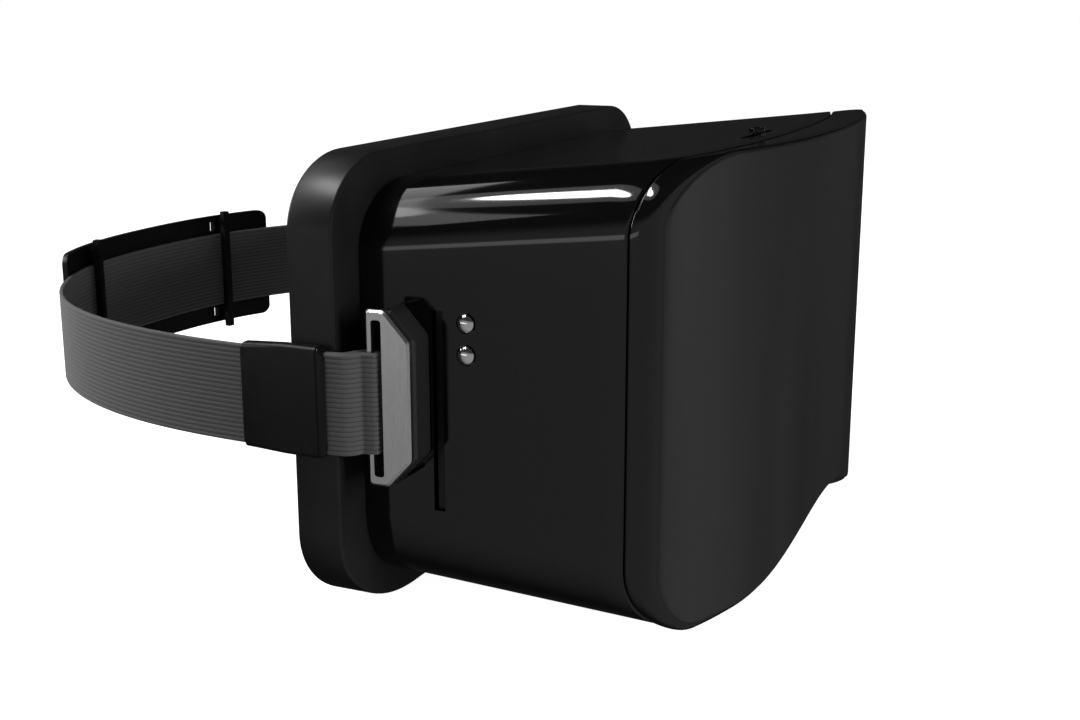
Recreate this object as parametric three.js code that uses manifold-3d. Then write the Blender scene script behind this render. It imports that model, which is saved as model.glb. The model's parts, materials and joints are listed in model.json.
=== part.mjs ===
// VR headset: a rounded housing on a face frame, held on the head by a webbing strap.
// Millimetres, +Z up. The front panel faces -Y and the strap loops round the head on the +Y side,
// so the wearer's right is -X. The origin is the middle of the bounding box's bottom face.

import * as THREE from "three";
import { mergeVertices } from "three/addons/utils/BufferGeometryUtils.js";
import Module from "manifold-3d";

const wasm = await Module();
wasm.setup();

// ---- Driving dimensions ----

const DEPTH = 230.5; // front panel to the back of the rear plate
const FRONT_Y = -DEPTH / 2;
const REAR_Y = DEPTH / 2;
const GAP = 0.3; // between pieces that touch
const WALL = 2.4; // housing and bezel walls
const SIDES = [{ name: "right", x: -1 }, { name: "left", x: 1 }];

const FRAME = { halfWidth: 100.7, top: 117.3, front: -19.2, depth: 12.5 };
FRAME.rear = FRAME.front + FRAME.depth;
const FRAME_TOP_CORNER = { x: 24.5, z: 18 };
const FRAME_BOTTOM_CORNER = { x: 37, z: 24.5 };
const NOSE_ARCH = { halfWidth: 30, height: 12 };
const FACE_OPENING = { halfWidth: 74, top: 100, bottom: 17, corner: 32, archHeight: 20 };
const CUSHION = { inset: 12, depth: 8, clearance: 2 };

// The housing's outline at its rear end, at the two seams in front of it and between them.
const HOUSING_REAR = {
  halfWidth: 88.5, top: 109.8, bottom: 6.3, arch: 0,
  topCorner: { x: 22, z: 16 }, bottomCorner: { x: 24, z: 22 },
};
const SEAM_ONE = {
  halfWidth: 88.5, top: 118.3, bottom: 4.9, arch: 9.3,
  topCorner: { x: 18, z: 17 }, bottomCorner: { x: 18.6, z: 18.2 },
};
const BEZEL_CREST = {
  halfWidth: 87.6, top: 119.3, bottom: 5.2, arch: 11,
  topCorner: { x: 20, z: 16 }, bottomCorner: { x: 14, z: 17 },
};
const SEAM_TWO = {
  halfWidth: 84.5, top: 119.4, bottom: 7.6, arch: 12.3,
  topCorner: { x: 21, z: 15.5 }, bottomCorner: { x: 9, z: 14.5 },
};
const ARCH_HALF_WIDTH = 60;
const PANEL_THICKNESS = 2.2;
const SEAM_GAP_Y = 0.5; // measured along Y, where the seams slant

// Seen from above, each seam is half a superellipse that bulges towards the front.
const SEAM_ONE_PLAN = { halfWidth: 93.4, rear: FRONT_Y + 35.4, bulge: 21.4, power: 2.23 };
const CREST_PLAN = { halfWidth: 91.5, rear: FRONT_Y + 30.2, bulge: 24, power: 2.15 };
const SEAM_TWO_PLAN = { halfWidth: 88.4, rear: FRONT_Y + 27, bulge: 27, power: 2.01 };

const EYE_Z = 61; // height of the lens axes
const LENS_SPACING = 64;
const LENS_TRAVEL = 5;
const LENS_RADIUS = 21;
const LENS_PLATE = { front: -54.5, rear: -52.5 };
const CARRIER = { radius: 23.5, front: -67.5, rear: -46.5, seat: -63.5, ledge: 2 };
const LENS = { rim: 2.8, frontBulge: 2.4, rearBulge: 6 };
const LENS_RING = { depth: 3, width: 1.9 };
const ROD = { radius: 1.5, halfLength: 71, y: -59.5, offset: 27.5 };
const BOSS = 3; // from a rod's middle to the front and back of the boss that runs on it
const PINION = { y: -65.5, z: EYE_Z + 36.5, radius: 4, bore: 1.4, width: 3, teeth: 12 };
const RACK = { gap: 0.3, back: 2, from: -14, to: 37, webFrom: 27, webBottom: EYE_Z + 25 };
const KNOB = { radius: 2.1, y: -91.7, bottom: 117.9, top: 119.1, stem: 1.1 };
const KNOB_SLOT = { length: 29, straight: 19, width: 3 };

const DISPLAY = { halfWidth: 62, halfHeight: 35, front: -93.8, rear: -91.8 };
const BRACKET = { halfWidth: 73, halfHeight: 38, front: -91.5, rear: -88.5 };
const POST = { x: 68, radius: 3.2, lug: 4, bore: 1.2, boreDepth: 7 };
const WINDOW = { halfWidth: 56, halfHeight: 31, corner: 3 };
const SCREW = { head: 2.4, headDepth: 1.6, shank: 0.9, length: 8, hole: 1.4 };
const BOARD = { halfWidth: 60, halfHeight: 33, front: -97.8, rear: -96.2 };
const CHIP = { half: 17, front: -100.6, rear: -98.1 };
const BATTERY = { halfWidth: 38, halfHeight: 25, front: -108, rear: -103 };

const VENT = { y: -40.2, width: 2.3, bottom: 31.2, top: 81.4, flange: 1.8 };
const BUTTON = { y: -47.9, heights: [78.9, 71.2], radius: 2.3, flange: 3, stem: 1.2, dome: 1.3 };
const SWITCH = { inner: 80.3, outer: 82, half: 2.2, plunger: 0.3 };
const BUTTON_BOARD_Z = [65, 85];
const SIDE_WALL = HOUSING_REAR.halfWidth - WALL; // the inner face of the housing's side wall
const BUTTON_NAMES = ["volume_up", "volume_down"];

const STRAP_THICKNESS = 1;
const STRAP_WIDTH = 25;
const STRAP_TOP = 72.3;
const STRAP_BOTTOM = STRAP_TOP - STRAP_WIDTH;
const STRAP_MIDDLE = (STRAP_TOP + STRAP_BOTTOM) / 2;
const STRAP_LAYER_GAP = 0.2;
const REAR_PLATE = { thickness: 1.7, halfWidth: 52, height: 37.5, corner: 3 };
const LOOP = { halfWidth: 103.6, start: -4.75, power: 2.36 };
LOOP.depth = REAR_Y - REAR_PLATE.thickness - GAP - STRAP_THICKNESS / 2 - LOOP.start;
const KEEPER = { x: 33.5, width: 2.3, depth: 2, overhang: 1.5, leg: 5 };
KEEPER.hole = { inboard: 3.2, beyond: 2.6, half: 1.6 };

const ANCHOR = { front: -38.1, rear: -26.5, bottom: 39.3, top: 82.5, inner: 97.3, outer: 98.9 };
const ANCHOR_CHAMFER = { y: 6.5, z: 7 };
const ANCHOR_SLOT = { front: -30.8, rear: -28.1, bottom: 41.6, top: 80.2 };
const ANCHOR_BASE = { inner: HOUSING_REAR.halfWidth + 0.4, outer: 97, rear: -31.4 };
const PIVOT = { y: -34.8, z: (ANCHOR.bottom + ANCHOR.top) / 2, radius: 2.5, washer: 3.4, outer: 93.6 };
const SLIDER = { front: -18.5, length: 23.7, skin: 0.7, clearance: 0.2, lip: 1 };

// ---- Helpers ----

function solid(geometry) {
  geometry.deleteAttribute("normal");
  geometry.deleteAttribute("uv");
  const merged = mergeVertices(geometry, 1e-4);
  return new wasm.Manifold(new wasm.Mesh({
    numProp: 3,
    vertProperties: merged.attributes.position.array,
    triVerts: new Uint32Array(merged.index.array),
  }));
}

function geometryOf(manifold) {
  const mesh = manifold.getMesh();
  const geometry = new THREE.BufferGeometry();
  geometry.setAttribute("position", new THREE.BufferAttribute(mesh.vertProperties, 3));
  geometry.setIndex(new THREE.BufferAttribute(mesh.triVerts, 1));
  geometry.computeVertexNormals();
  return geometry;
}

function box([x0, x1], [y0, y1], [z0, z1]) {
  const geometry = new THREE.BoxGeometry(x1 - x0, y1 - y0, z1 - z0);
  geometry.translate((x0 + x1) / 2, (y0 + y1) / 2, (z0 + z1) / 2);
  return solid(geometry);
}

// A shape drawn in X and Z, extruded from the rear y to the front y.
function extrudeY(shape, front, rear, curveSegments = 8) {
  const options = { depth: rear - front, bevelEnabled: false, curveSegments };
  const geometry = new THREE.ExtrudeGeometry(shape, options);
  geometry.rotateX(Math.PI / 2);
  geometry.translate(0, rear, 0);
  return solid(geometry);
}

// A shape drawn in X and Y, extruded upwards.
function extrudeZ(shape, bottom, top) {
  const options = { depth: top - bottom, bevelEnabled: false, curveSegments: 8 };
  const geometry = new THREE.ExtrudeGeometry(shape, options);
  geometry.translate(0, 0, bottom);
  return solid(geometry);
}

// A shape drawn in Y and Z, extruded along X.
function extrudeX(shape, from, to) {
  const options = { depth: to - from, bevelEnabled: false, curveSegments: 6 };
  const geometry = new THREE.ExtrudeGeometry(shape, options);
  geometry.rotateX(Math.PI / 2);
  geometry.rotateZ(Math.PI / 2);
  geometry.translate(from, 0, 0);
  return solid(geometry);
}

// Lathed profiles are lists of [radius, distance along the axis]; y gives the axis direction.
function latheY(profile, x, z, segments = 32) {
  const points = profile.map(([r, h]) => new THREE.Vector2(r, h));
  const geometry = new THREE.LatheGeometry(points, segments);
  geometry.translate(x, 0, z);
  return solid(geometry);
}

function latheX(profile, y, z, side, segments = 20) {
  const points = profile.map(([r, h]) => new THREE.Vector2(r, h));
  const geometry = new THREE.LatheGeometry(points, segments);
  geometry.rotateZ((-side * Math.PI) / 2);
  geometry.translate(0, y, z);
  return solid(geometry);
}

function cylinderZ(radius, x, y, bottom, top) {
  const geometry = new THREE.CylinderGeometry(radius, radius, top - bottom, 20);
  geometry.rotateX(Math.PI / 2);
  geometry.translate(x, y, (bottom + top) / 2);
  return solid(geometry);
}

function cylinderY(radius, x, z, front, rear) {
  return latheY([[0, front], [radius, front], [radius, rear], [0, rear]], x, z, 20);
}

function cylinderX(radius, y, z, from, to, segments = 16) {
  const geometry = new THREE.CylinderGeometry(radius, radius, to - from, segments);
  geometry.rotateZ(Math.PI / 2);
  geometry.translate((from + to) / 2, y, z);
  return solid(geometry);
}

function rectangle(x0, x1, z0, z1, radius) {
  const shape = new THREE.Shape();
  shape.absarc(x1 - radius, z0 + radius, radius, -Math.PI / 2, 0);
  shape.absarc(x1 - radius, z1 - radius, radius, 0, Math.PI / 2);
  shape.absarc(x0 + radius, z1 - radius, radius, Math.PI / 2, Math.PI);
  shape.absarc(x0 + radius, z0 + radius, radius, Math.PI, Math.PI * 1.5);
  shape.closePath();
  return shape;
}

function polygon(points) {
  return new THREE.Shape(points.map(([x, y]) => new THREE.Vector2(x, y)));
}

// The same span of X on either side of the middle.
function across(side, from, to) {
  return side.x < 0 ? [-to, -from] : [from, to];
}

const parts = new THREE.Group();

function add(name, manifold, finish) {
  const mesh = new THREE.Mesh(geometryOf(manifold), new THREE.MeshStandardMaterial(finish));
  mesh.name = name;
  parts.add(mesh);
}

const GLOSS_BLACK = { color: 0x0b0b0c, roughness: 0.12, metalness: 0 };
const SATIN_PANEL = { color: 0x232324, roughness: 0.4, metalness: 0 };
const MATTE_BLACK = { color: 0x161617, roughness: 0.6, metalness: 0 };
const SATIN_SILVER = { color: 0xa9a9a8, roughness: 0.3, metalness: 1 };
const CHROME = { color: 0xd8d8d8, roughness: 0.08, metalness: 1 };
const STEEL = { color: 0xb5b6b8, roughness: 0.25, metalness: 1 };
const FOAM = { color: 0x1a1a1b, roughness: 0.95, metalness: 0 };
const WEBBING = { color: 0x2c2c2d, roughness: 0.85, metalness: 0 };
const LENS_GLASS = { color: 0xdfe8ea, roughness: 0.05, metalness: 0 };
const NYLON = { color: 0x3a3a3c, roughness: 0.5, metalness: 0 };
const SCREEN = { color: 0x08090b, roughness: 0.1, metalness: 0 };
const CIRCUIT = { color: 0x17452c, roughness: 0.5, metalness: 0 };
const BATTERY_WRAP = { color: 0x9aa0a6, roughness: 0.45, metalness: 0 };

// ---- Housing, bezel and front panel ----

const CORNER_STEPS = 6;
const EDGE_STEPS = 12;

function planY(plan, x) {
  const part = Math.min(1, Math.abs(x) / plan.halfWidth);
  return plan.rear - plan.bulge * (1 - part ** plan.power) ** (1 / plan.power);
}

// An outline's points, anticlockwise in X and Z, each at the y that yOf gives for its x.
function outlineRing(outline, yOf) {
  const { halfWidth, top, bottom, topCorner, bottomCorner, arch } = outline;
  const points = [];
  const corner = (x, z, size, start) => {
    for (let k = 0; k <= CORNER_STEPS; k++) {
      const angle = start + (k / CORNER_STEPS) * (Math.PI / 2);
      points.push([x + size.x * Math.cos(angle), z + size.z * Math.sin(angle)]);
    }
  };
  const edge = (fromX, toX, zOf) => {
    for (let k = 1; k < EDGE_STEPS; k++) {
      const x = fromX + (k / EDGE_STEPS) * (toX - fromX);
      points.push([x, zOf(x)]);
    }
  };
  const underside = (x) => {
    const part = Math.min(1, Math.abs(x) / ARCH_HALF_WIDTH);
    return bottom + arch * Math.cos((part * Math.PI) / 2) ** 2;
  };
  const lowX = halfWidth - bottomCorner.x;
  const highX = halfWidth - topCorner.x;
  corner(lowX, bottom + bottomCorner.z, bottomCorner, -Math.PI / 2);
  corner(highX, top - topCorner.z, topCorner, 0);
  edge(highX, -highX, () => top);
  corner(-highX, top - topCorner.z, topCorner, Math.PI / 2);
  corner(-lowX, bottom + bottomCorner.z, bottomCorner, Math.PI);
  edge(-lowX, lowX, underside);
  return points.map(([x, z]) => new THREE.Vector3(x, yOf(x), z));
}

function inset(outline, by) {
  const smaller = (corner) => ({ x: corner.x - by, z: corner.z - by });
  return {
    ...outline,
    halfWidth: outline.halfWidth - by,
    top: outline.top - by,
    bottom: outline.bottom + by,
    topCorner: smaller(outline.topCorner),
    bottomCorner: smaller(outline.bottomCorner),
  };
}

// A closed solid through rings of equal point count, ordered from the rear to the front.
function loft(rings) {
  const count = rings[0].length;
  const index = [];
  for (let r = 0; r + 1 < rings.length; r++) {
    for (let i = 0; i < count; i++) {
      const a = r * count + i;
      const b = r * count + ((i + 1) % count);
      index.push(a, b, a + count, b, b + count, a + count);
    }
  }
  const last = (rings.length - 1) * count;
  const flat = rings[0].map((p) => new THREE.Vector2(p.x, p.z));
  for (const [a, b, c] of THREE.ShapeUtils.triangulateShape(flat, [])) {
    index.push(c, b, a, last + a, last + b, last + c);
  }
  const geometry = new THREE.BufferGeometry();
  const positions = rings.flat().flatMap((p) => [p.x, p.y, p.z]);
  geometry.setAttribute("position", new THREE.Float32BufferAttribute(positions, 3));
  geometry.setIndex(index);
  return solid(geometry);
}

const seamOneY = (shift) => (x) => planY(SEAM_ONE_PLAN, x) + shift;
const crestY = (x) => planY(CREST_PLAN, x);
const seamTwoY = (shift) => (x) => planY(SEAM_TWO_PLAN, x) + shift;
const PAST = 6; // how far cutting solids run past what they cut
const farFront = () => FRONT_Y - PAST;

// Everything behind a seam's plan curve, moved along Y by shift.
function behindPlan(plan, shift) {
  const reach = 120;
  const points = [[-reach, 40], [-reach, plan.rear + shift]];
  const steps = 48;
  for (let k = 0; k <= steps; k++) {
    const x = -plan.halfWidth * Math.cos((k / steps) * Math.PI);
    points.push([x, planY(plan, x) + shift]);
  }
  points.push([reach, plan.rear + shift], [reach, 40]);
  return extrudeZ(polygon(points), -PAST, 140);
}

function housingCavity() {
  const rear = inset(HOUSING_REAR, WALL);
  const front = inset(SEAM_ONE, WALL);
  return loft([
    outlineRing(rear, () => FRAME.front + PAST),
    outlineRing(rear, () => FRAME.front - GAP),
    outlineRing(front, seamOneY(0)),
    outlineRing(front, farFront),
  ]);
}

function mainHousing() {
  let body = loft([
    outlineRing(HOUSING_REAR, () => FRAME.front - GAP),
    outlineRing(SEAM_ONE, seamOneY(0)),
    outlineRing(SEAM_ONE, farFront),
  ]);
  body = body.intersect(behindPlan(SEAM_ONE_PLAN, 0)).subtract(housingCavity());
  body = body.subtract(knobSlot());
  const ventY = [VENT.y - VENT.width / 2, VENT.y + VENT.width / 2];
  for (const side of SIDES) {
    const through = across(side, SIDE_WALL - PAST, SIDE_WALL + PAST);
    body = body.subtract(box(through, ventY, [VENT.bottom, VENT.top]));
    body = body.subtract(cylinderX(PIVOT.radius + GAP, PIVOT.y, PIVOT.z, ...through));
  }
  const buttonSide = across(SIDES[0], SIDE_WALL - PAST, SIDE_WALL + PAST);
  for (const z of BUTTON.heights) {
    body = body.subtract(cylinderX(BUTTON.radius + GAP, BUTTON.y, z, ...buttonSide, 20));
  }
  return body;
}

// The slot in the top of the housing that the knob slides in, pointed at both ends.
function knobSlot() {
  const end = KNOB_SLOT.length / 2;
  const straight = KNOB_SLOT.straight / 2;
  const half = KNOB_SLOT.width / 2;
  const outline = polygon([
    [-end, 0], [-straight, -half], [straight, -half], [end, 0], [straight, half], [-straight, half],
  ]);
  return extrudeZ(outline, KNOB.bottom - 10, KNOB.top + PAST).translate([0, KNOB.y, 0]);
}

// The pocket in the bezel that the front panel sits in.
function panelPocket() {
  const outline = inset(SEAM_TWO, -GAP);
  const prism = loft([
    outlineRing(outline, () => SEAM_TWO_PLAN.rear + PAST),
    outlineRing(outline, farFront),
  ]);
  return prism.subtract(behindPlan(SEAM_TWO_PLAN, PANEL_THICKNESS + SEAM_GAP_Y));
}

function frontBezel() {
  const behindSeams = () => SEAM_ONE_PLAN.rear + PAST;
  const outside = loft([
    outlineRing(SEAM_ONE, behindSeams),
    outlineRing(SEAM_ONE, seamOneY(-SEAM_GAP_Y)),
    outlineRing(BEZEL_CREST, crestY),
    outlineRing(SEAM_TWO, seamTwoY(0)),
    outlineRing(SEAM_TWO, farFront),
  ]);
  const inside = loft([
    outlineRing(inset(SEAM_ONE, WALL), behindSeams),
    outlineRing(inset(SEAM_ONE, WALL), seamOneY(0)),
    outlineRing(inset(SEAM_TWO, WALL), seamTwoY(0)),
    outlineRing(inset(SEAM_TWO, WALL), farFront),
  ]);
  return outside
    .subtract(inside)
    .subtract(behindPlan(SEAM_ONE_PLAN, -SEAM_GAP_Y))
    .subtract(panelPocket());
}

function frontPanel() {
  const slab = behindPlan(SEAM_TWO_PLAN, 0).subtract(behindPlan(SEAM_TWO_PLAN, PANEL_THICKNESS));
  const prism = loft([
    outlineRing(SEAM_TWO, () => SEAM_TWO_PLAN.rear),
    outlineRing(SEAM_TWO, farFront),
  ]);
  return prism.intersect(slab);
}

add("main_housing", mainHousing(), GLOSS_BLACK);
add("front_bezel", frontBezel(), GLOSS_BLACK);
add("front_panel", frontPanel(), SATIN_PANEL);

// ---- Face frame and cushion ----

// An upright outline with elliptical corners and an arch in the middle of its lower edge.
function archedOutline({ halfWidth, top, bottom, upper, lower, archHalf, archHeight }) {
  const shape = new THREE.Shape();
  const archSteps = 12;
  for (let k = 0; k <= archSteps; k++) {
    const x = -archHalf + (k / archSteps) * 2 * archHalf;
    const z = bottom + archHeight * Math.cos((x / archHalf) * (Math.PI / 2)) ** 2;
    if (k === 0) {
      shape.moveTo(x, z);
    } else {
      shape.lineTo(x, z);
    }
  }
  const quarter = Math.PI / 2;
  shape.absellipse(halfWidth - lower.x, bottom + lower.z, lower.x, lower.z, -quarter, 0);
  shape.absellipse(halfWidth - upper.x, top - upper.z, upper.x, upper.z, 0, quarter);
  shape.absellipse(upper.x - halfWidth, top - upper.z, upper.x, upper.z, quarter, Math.PI);
  shape.absellipse(lower.x - halfWidth, bottom + lower.z, lower.x, lower.z, Math.PI, 3 * quarter);
  shape.closePath();
  return shape;
}

function frameOutline(by) {
  return archedOutline({
    halfWidth: FRAME.halfWidth - by,
    top: FRAME.top - by,
    bottom: by,
    upper: { x: FRAME_TOP_CORNER.x - by / 2, z: FRAME_TOP_CORNER.z - by / 2 },
    lower: { x: FRAME_BOTTOM_CORNER.x - by / 2, z: FRAME_BOTTOM_CORNER.z - by / 2 },
    archHalf: NOSE_ARCH.halfWidth,
    archHeight: NOSE_ARCH.height,
  });
}

// The opening that the face looks through.
function faceOpening(by) {
  const { halfWidth, top, bottom, corner, archHeight } = FACE_OPENING;
  return archedOutline({
    halfWidth: halfWidth - by,
    top: top - by,
    bottom: bottom + by,
    upper: { x: corner, z: corner },
    lower: { x: corner, z: corner },
    archHalf: halfWidth - by - corner,
    archHeight,
  });
}

function faceFrame() {
  const ring = extrudeY(frameOutline(0), FRAME.front, FRAME.rear);
  return ring.subtract(extrudeY(faceOpening(0), FRAME.front - 1, FRAME.rear + 1));
}

function faceCushion() {
  const front = FRAME.rear + GAP;
  const rear = front + CUSHION.depth;
  const ring = extrudeY(frameOutline(CUSHION.inset), front, rear, 6);
  return ring.subtract(extrudeY(faceOpening(CUSHION.clearance), front - 1, rear + 1, 6));
}

add("face_frame", faceFrame(), MATTE_BLACK);
add("face_cushion", faceCushion(), FOAM);

// ---- Lens plate, lenses and their sliding carriers ----

function stadium(centreX, halfTravel, radius) {
  const shape = new THREE.Shape();
  const quarter = Math.PI / 2;
  shape.absarc(centreX + halfTravel, EYE_Z, radius, -quarter, quarter);
  shape.absarc(centreX - halfTravel, EYE_Z, radius, quarter, 3 * quarter);
  shape.closePath();
  return shape;
}

function lensPlate() {
  const outline = { ...inset(HOUSING_REAR, WALL + 0.6), arch: SEAM_ONE.arch / 2 };
  let plate = loft([
    outlineRing(outline, () => LENS_PLATE.rear),
    outlineRing(outline, () => LENS_PLATE.front),
  ]);
  const postEnd = BRACKET.rear + GAP;
  const lugFront = ROD.y - BOSS - 0.5;
  for (const side of SIDES) {
    const hole = stadium((side.x * LENS_SPACING) / 2, LENS_TRAVEL + 0.5, CARRIER.radius + 0.7);
    plate = plate.subtract(extrudeY(hole, LENS_PLATE.front - 1, LENS_PLATE.rear + 1));
    for (const up of [-1, 1]) {
      const z = EYE_Z + up * ROD.offset;
      const x = side.x * POST.x;
      const lugX = [x - POST.lug, x + POST.lug];
      plate = plate
        .add(box(lugX, [lugFront, LENS_PLATE.front], [z - POST.lug, z + POST.lug]))
        .add(cylinderY(POST.radius, x, z, postEnd, lugFront))
        .subtract(cylinderY(POST.bore, x, z, postEnd - 1, postEnd + POST.boreDepth))
        .subtract(cylinderX(ROD.radius + GAP, ROD.y, z, lugX[0] - 1, lugX[1] + 1));
    }
  }
  return plate;
}

function guideRod(up) {
  const z = EYE_Z + up * ROD.offset;
  return cylinderX(ROD.radius, ROD.y, z, -ROD.halfLength, ROD.halfLength);
}

function lensCarrier(side) {
  const centre = (side.x * LENS_SPACING) / 2;
  const inner = LENS_RADIUS + GAP;
  const ledge = inner - CARRIER.ledge;
  let carrier = latheY([
    [ledge, CARRIER.front], [CARRIER.radius, CARRIER.front],
    [CARRIER.radius, CARRIER.rear], [inner, CARRIER.rear],
    [inner, CARRIER.seat], [ledge, CARRIER.seat], [ledge, CARRIER.front],
  ], centre, EYE_Z);
  for (const up of [-1, 1]) {
    const z = EYE_Z + up * ROD.offset;
    const near = EYE_Z + up * (CARRIER.radius - 1.6);
    const far = z + up * (BOSS + 1);
    const heights = up < 0 ? [far, near] : [near, far];
    const boss = box([centre - 5, centre + 5], [ROD.y - BOSS, ROD.y + BOSS], heights);
    const bore = cylinderX(ROD.radius + GAP, ROD.y, z, centre - 8, centre + 8);
    carrier = carrier.add(boss).subtract(bore);
  }
  return carrier;
}

// A lens that bulges on both faces, with a flat rim that sits on the carrier's seat.
function lens(side) {
  const rim = LENS_RADIUS - 0.5;
  const rimFront = CARRIER.seat + GAP;
  const rimRear = rimFront + LENS.rim;
  const steps = 6;
  const profile = [];
  for (let k = 0; k <= steps; k++) {
    const part = k / steps;
    profile.push([(rim - CARRIER.ledge - 0.5) * part, rimFront - LENS.frontBulge * (1 - part ** 2)]);
  }
  profile.push([rim, rimFront], [rim, rimRear]);
  for (let k = steps; k >= 0; k--) {
    const part = k / steps;
    profile.push([(rim - LENS_RING.width) * part, rimRear + LENS.rearBulge * (1 - part ** 2)]);
  }
  return latheY(profile, (side.x * LENS_SPACING) / 2, EYE_Z);
}

function lensRing(side) {
  const front = CARRIER.seat + GAP + LENS.rim + GAP;
  const rear = front + LENS_RING.depth;
  const lip = LENS_RADIUS - LENS_RING.width;
  return latheY([
    [lip, front], [LENS_RADIUS, front], [LENS_RADIUS, rear], [lip + 0.8, rear], [lip, front],
  ], (side.x * LENS_SPACING) / 2, EYE_Z);
}

// A toothed bar along X and the web that joins it to its lens carrier.
function rack(side) {
  const up = side.x; // the left rack runs above the pinion and the right rack below it
  const tip = PINION.z + up * (PINION.radius + RACK.gap);
  const root = tip + up;
  const back = root + up * RACK.back;
  const y = [PINION.y - PINION.width / 2, PINION.y + PINION.width / 2];
  const bar = box(across(side, RACK.from, RACK.to), y, [Math.min(root, back), Math.max(root, back)]);
  const webX = across(side, RACK.webFrom, RACK.to);
  const webY = [y[0], ROD.y - BOSS - GAP];
  const web = box(webX, webY, [RACK.webBottom, Math.max(root, back)]);
  let body = bar.add(web);
  const pitch = (2 * Math.PI * PINION.radius) / PINION.teeth;
  for (let k = -5; k <= 5; k++) {
    const x = k * pitch;
    const foot = root + up * 0.5;
    const tooth = [[x - 0.7, foot], [x - 0.3, tip], [x + 0.3, tip], [x + 0.7, foot]];
    body = body.add(extrudeY(polygon(up > 0 ? tooth : tooth.reverse()), y[0], y[1]));
  }
  if (side.x > 0) {
    const arm = KNOB.radius + 1;
    body = body.add(box([-arm, arm], [KNOB.y - arm, PINION.y], [root, back]));
  }
  return body;
}

function ipdPinion() {
  const shape = new THREE.Shape();
  const steps = PINION.teeth * 4;
  for (let k = 0; k < steps; k++) {
    const angle = (k / steps) * 2 * Math.PI;
    const radius = k % 4 < 2 ? PINION.radius : PINION.radius - 1;
    const x = radius * Math.cos(angle);
    const z = PINION.z + radius * Math.sin(angle);
    if (k === 0) {
      shape.moveTo(x, z);
    } else {
      shape.lineTo(x, z);
    }
  }
  shape.closePath();
  const half = PINION.width / 2;
  const wheel = extrudeY(shape, PINION.y - half, PINION.y + half);
  return wheel.subtract(cylinderY(PINION.bore, 0, PINION.z, PINION.y - 3, PINION.y + 3));
}

function ipdKnob() {
  const armTop = PINION.z + PINION.radius + RACK.gap + 1 + RACK.back;
  const disc = cylinderZ(KNOB.radius, 0, KNOB.y, KNOB.bottom, KNOB.top);
  return disc.add(cylinderZ(KNOB.stem, 0, KNOB.y, armTop + GAP, KNOB.bottom));
}

add("lens_plate", lensPlate(), MATTE_BLACK);
add("upper_guide_rod", guideRod(1), STEEL);
add("lower_guide_rod", guideRod(-1), STEEL);
const axleEnds = [PINION.y - 3.5, LENS_PLATE.front - GAP];
add("pinion_axle", cylinderY(PINION.bore - GAP, 0, PINION.z, ...axleEnds), STEEL);
for (const side of SIDES) {
  add(`${side.name}_lens_carrier`, lensCarrier(side), MATTE_BLACK);
  add(`${side.name}_lens`, lens(side), LENS_GLASS);
  add(`${side.name}_lens_ring`, lensRing(side), MATTE_BLACK);
  add(`${side.name}_rack`, rack(side), NYLON);
}
add("ipd_pinion", ipdPinion(), NYLON);
add("ipd_knob", ipdKnob(), GLOSS_BLACK);

// ---- Display and electronics ----

function standingPlate(piece, radius) {
  const { halfWidth, halfHeight, front, rear } = piece;
  const shape = rectangle(-halfWidth, halfWidth, EYE_Z - halfHeight, EYE_Z + halfHeight, radius);
  return extrudeY(shape, front, rear, 4);
}

function displayBracket() {
  let bracket = standingPlate(BRACKET, 4);
  const { halfWidth, halfHeight, corner } = WINDOW;
  const window = rectangle(-halfWidth, halfWidth, EYE_Z - halfHeight, EYE_Z + halfHeight, corner);
  bracket = bracket.subtract(extrudeY(window, BRACKET.front - 1, BRACKET.rear + 1, 4));
  for (const [x, z] of screwPlaces()) {
    bracket = bracket.subtract(cylinderY(SCREW.hole, x, z, BRACKET.front - 1, BRACKET.rear + 1));
  }
  return bracket;
}

function screwPlaces() {
  const z = [EYE_Z - ROD.offset, EYE_Z + ROD.offset];
  return z.flatMap((height) => [[-POST.x, height], [POST.x, height]]);
}

function displayScrew(x, z) {
  const seat = BRACKET.front - GAP;
  const top = seat - SCREW.headDepth;
  const tip = seat + SCREW.length;
  return latheY([
    [0, top], [SCREW.head, top], [SCREW.head, seat], [SCREW.shank, seat], [SCREW.shank, tip], [0, tip],
  ], x, z, 16);
}

add("display_panel", standingPlate(DISPLAY, 2), SCREEN);
add("display_bracket", displayBracket(), NYLON);
screwPlaces().forEach(([x, z], k) => add(`display_screw_${k + 1}`, displayScrew(x, z), STEEL));
add("main_board", standingPlate(BOARD, 3), CIRCUIT);
const chipZ = [EYE_Z - CHIP.half, EYE_Z + CHIP.half];
add("chip_shield", box([-CHIP.half, CHIP.half], [CHIP.front, CHIP.rear], chipZ), STEEL);
add("battery_pack", standingPlate(BATTERY, 2), BATTERY_WRAP);

// ---- Side buttons and vents ----

function ventInsert(side) {
  const half = VENT.width / 2 - GAP;
  const strip = box(
    across(side, SIDE_WALL - 1.5, SIDE_WALL + 1.3),
    [VENT.y - half, VENT.y + half],
    [VENT.bottom + GAP, VENT.top - GAP],
  );
  const flange = box(
    across(side, SIDE_WALL - 2.5, SIDE_WALL - 1.3),
    [VENT.y - VENT.flange, VENT.y + VENT.flange],
    [VENT.bottom - 1, VENT.top + 1],
  );
  return strip.add(flange);
}

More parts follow.
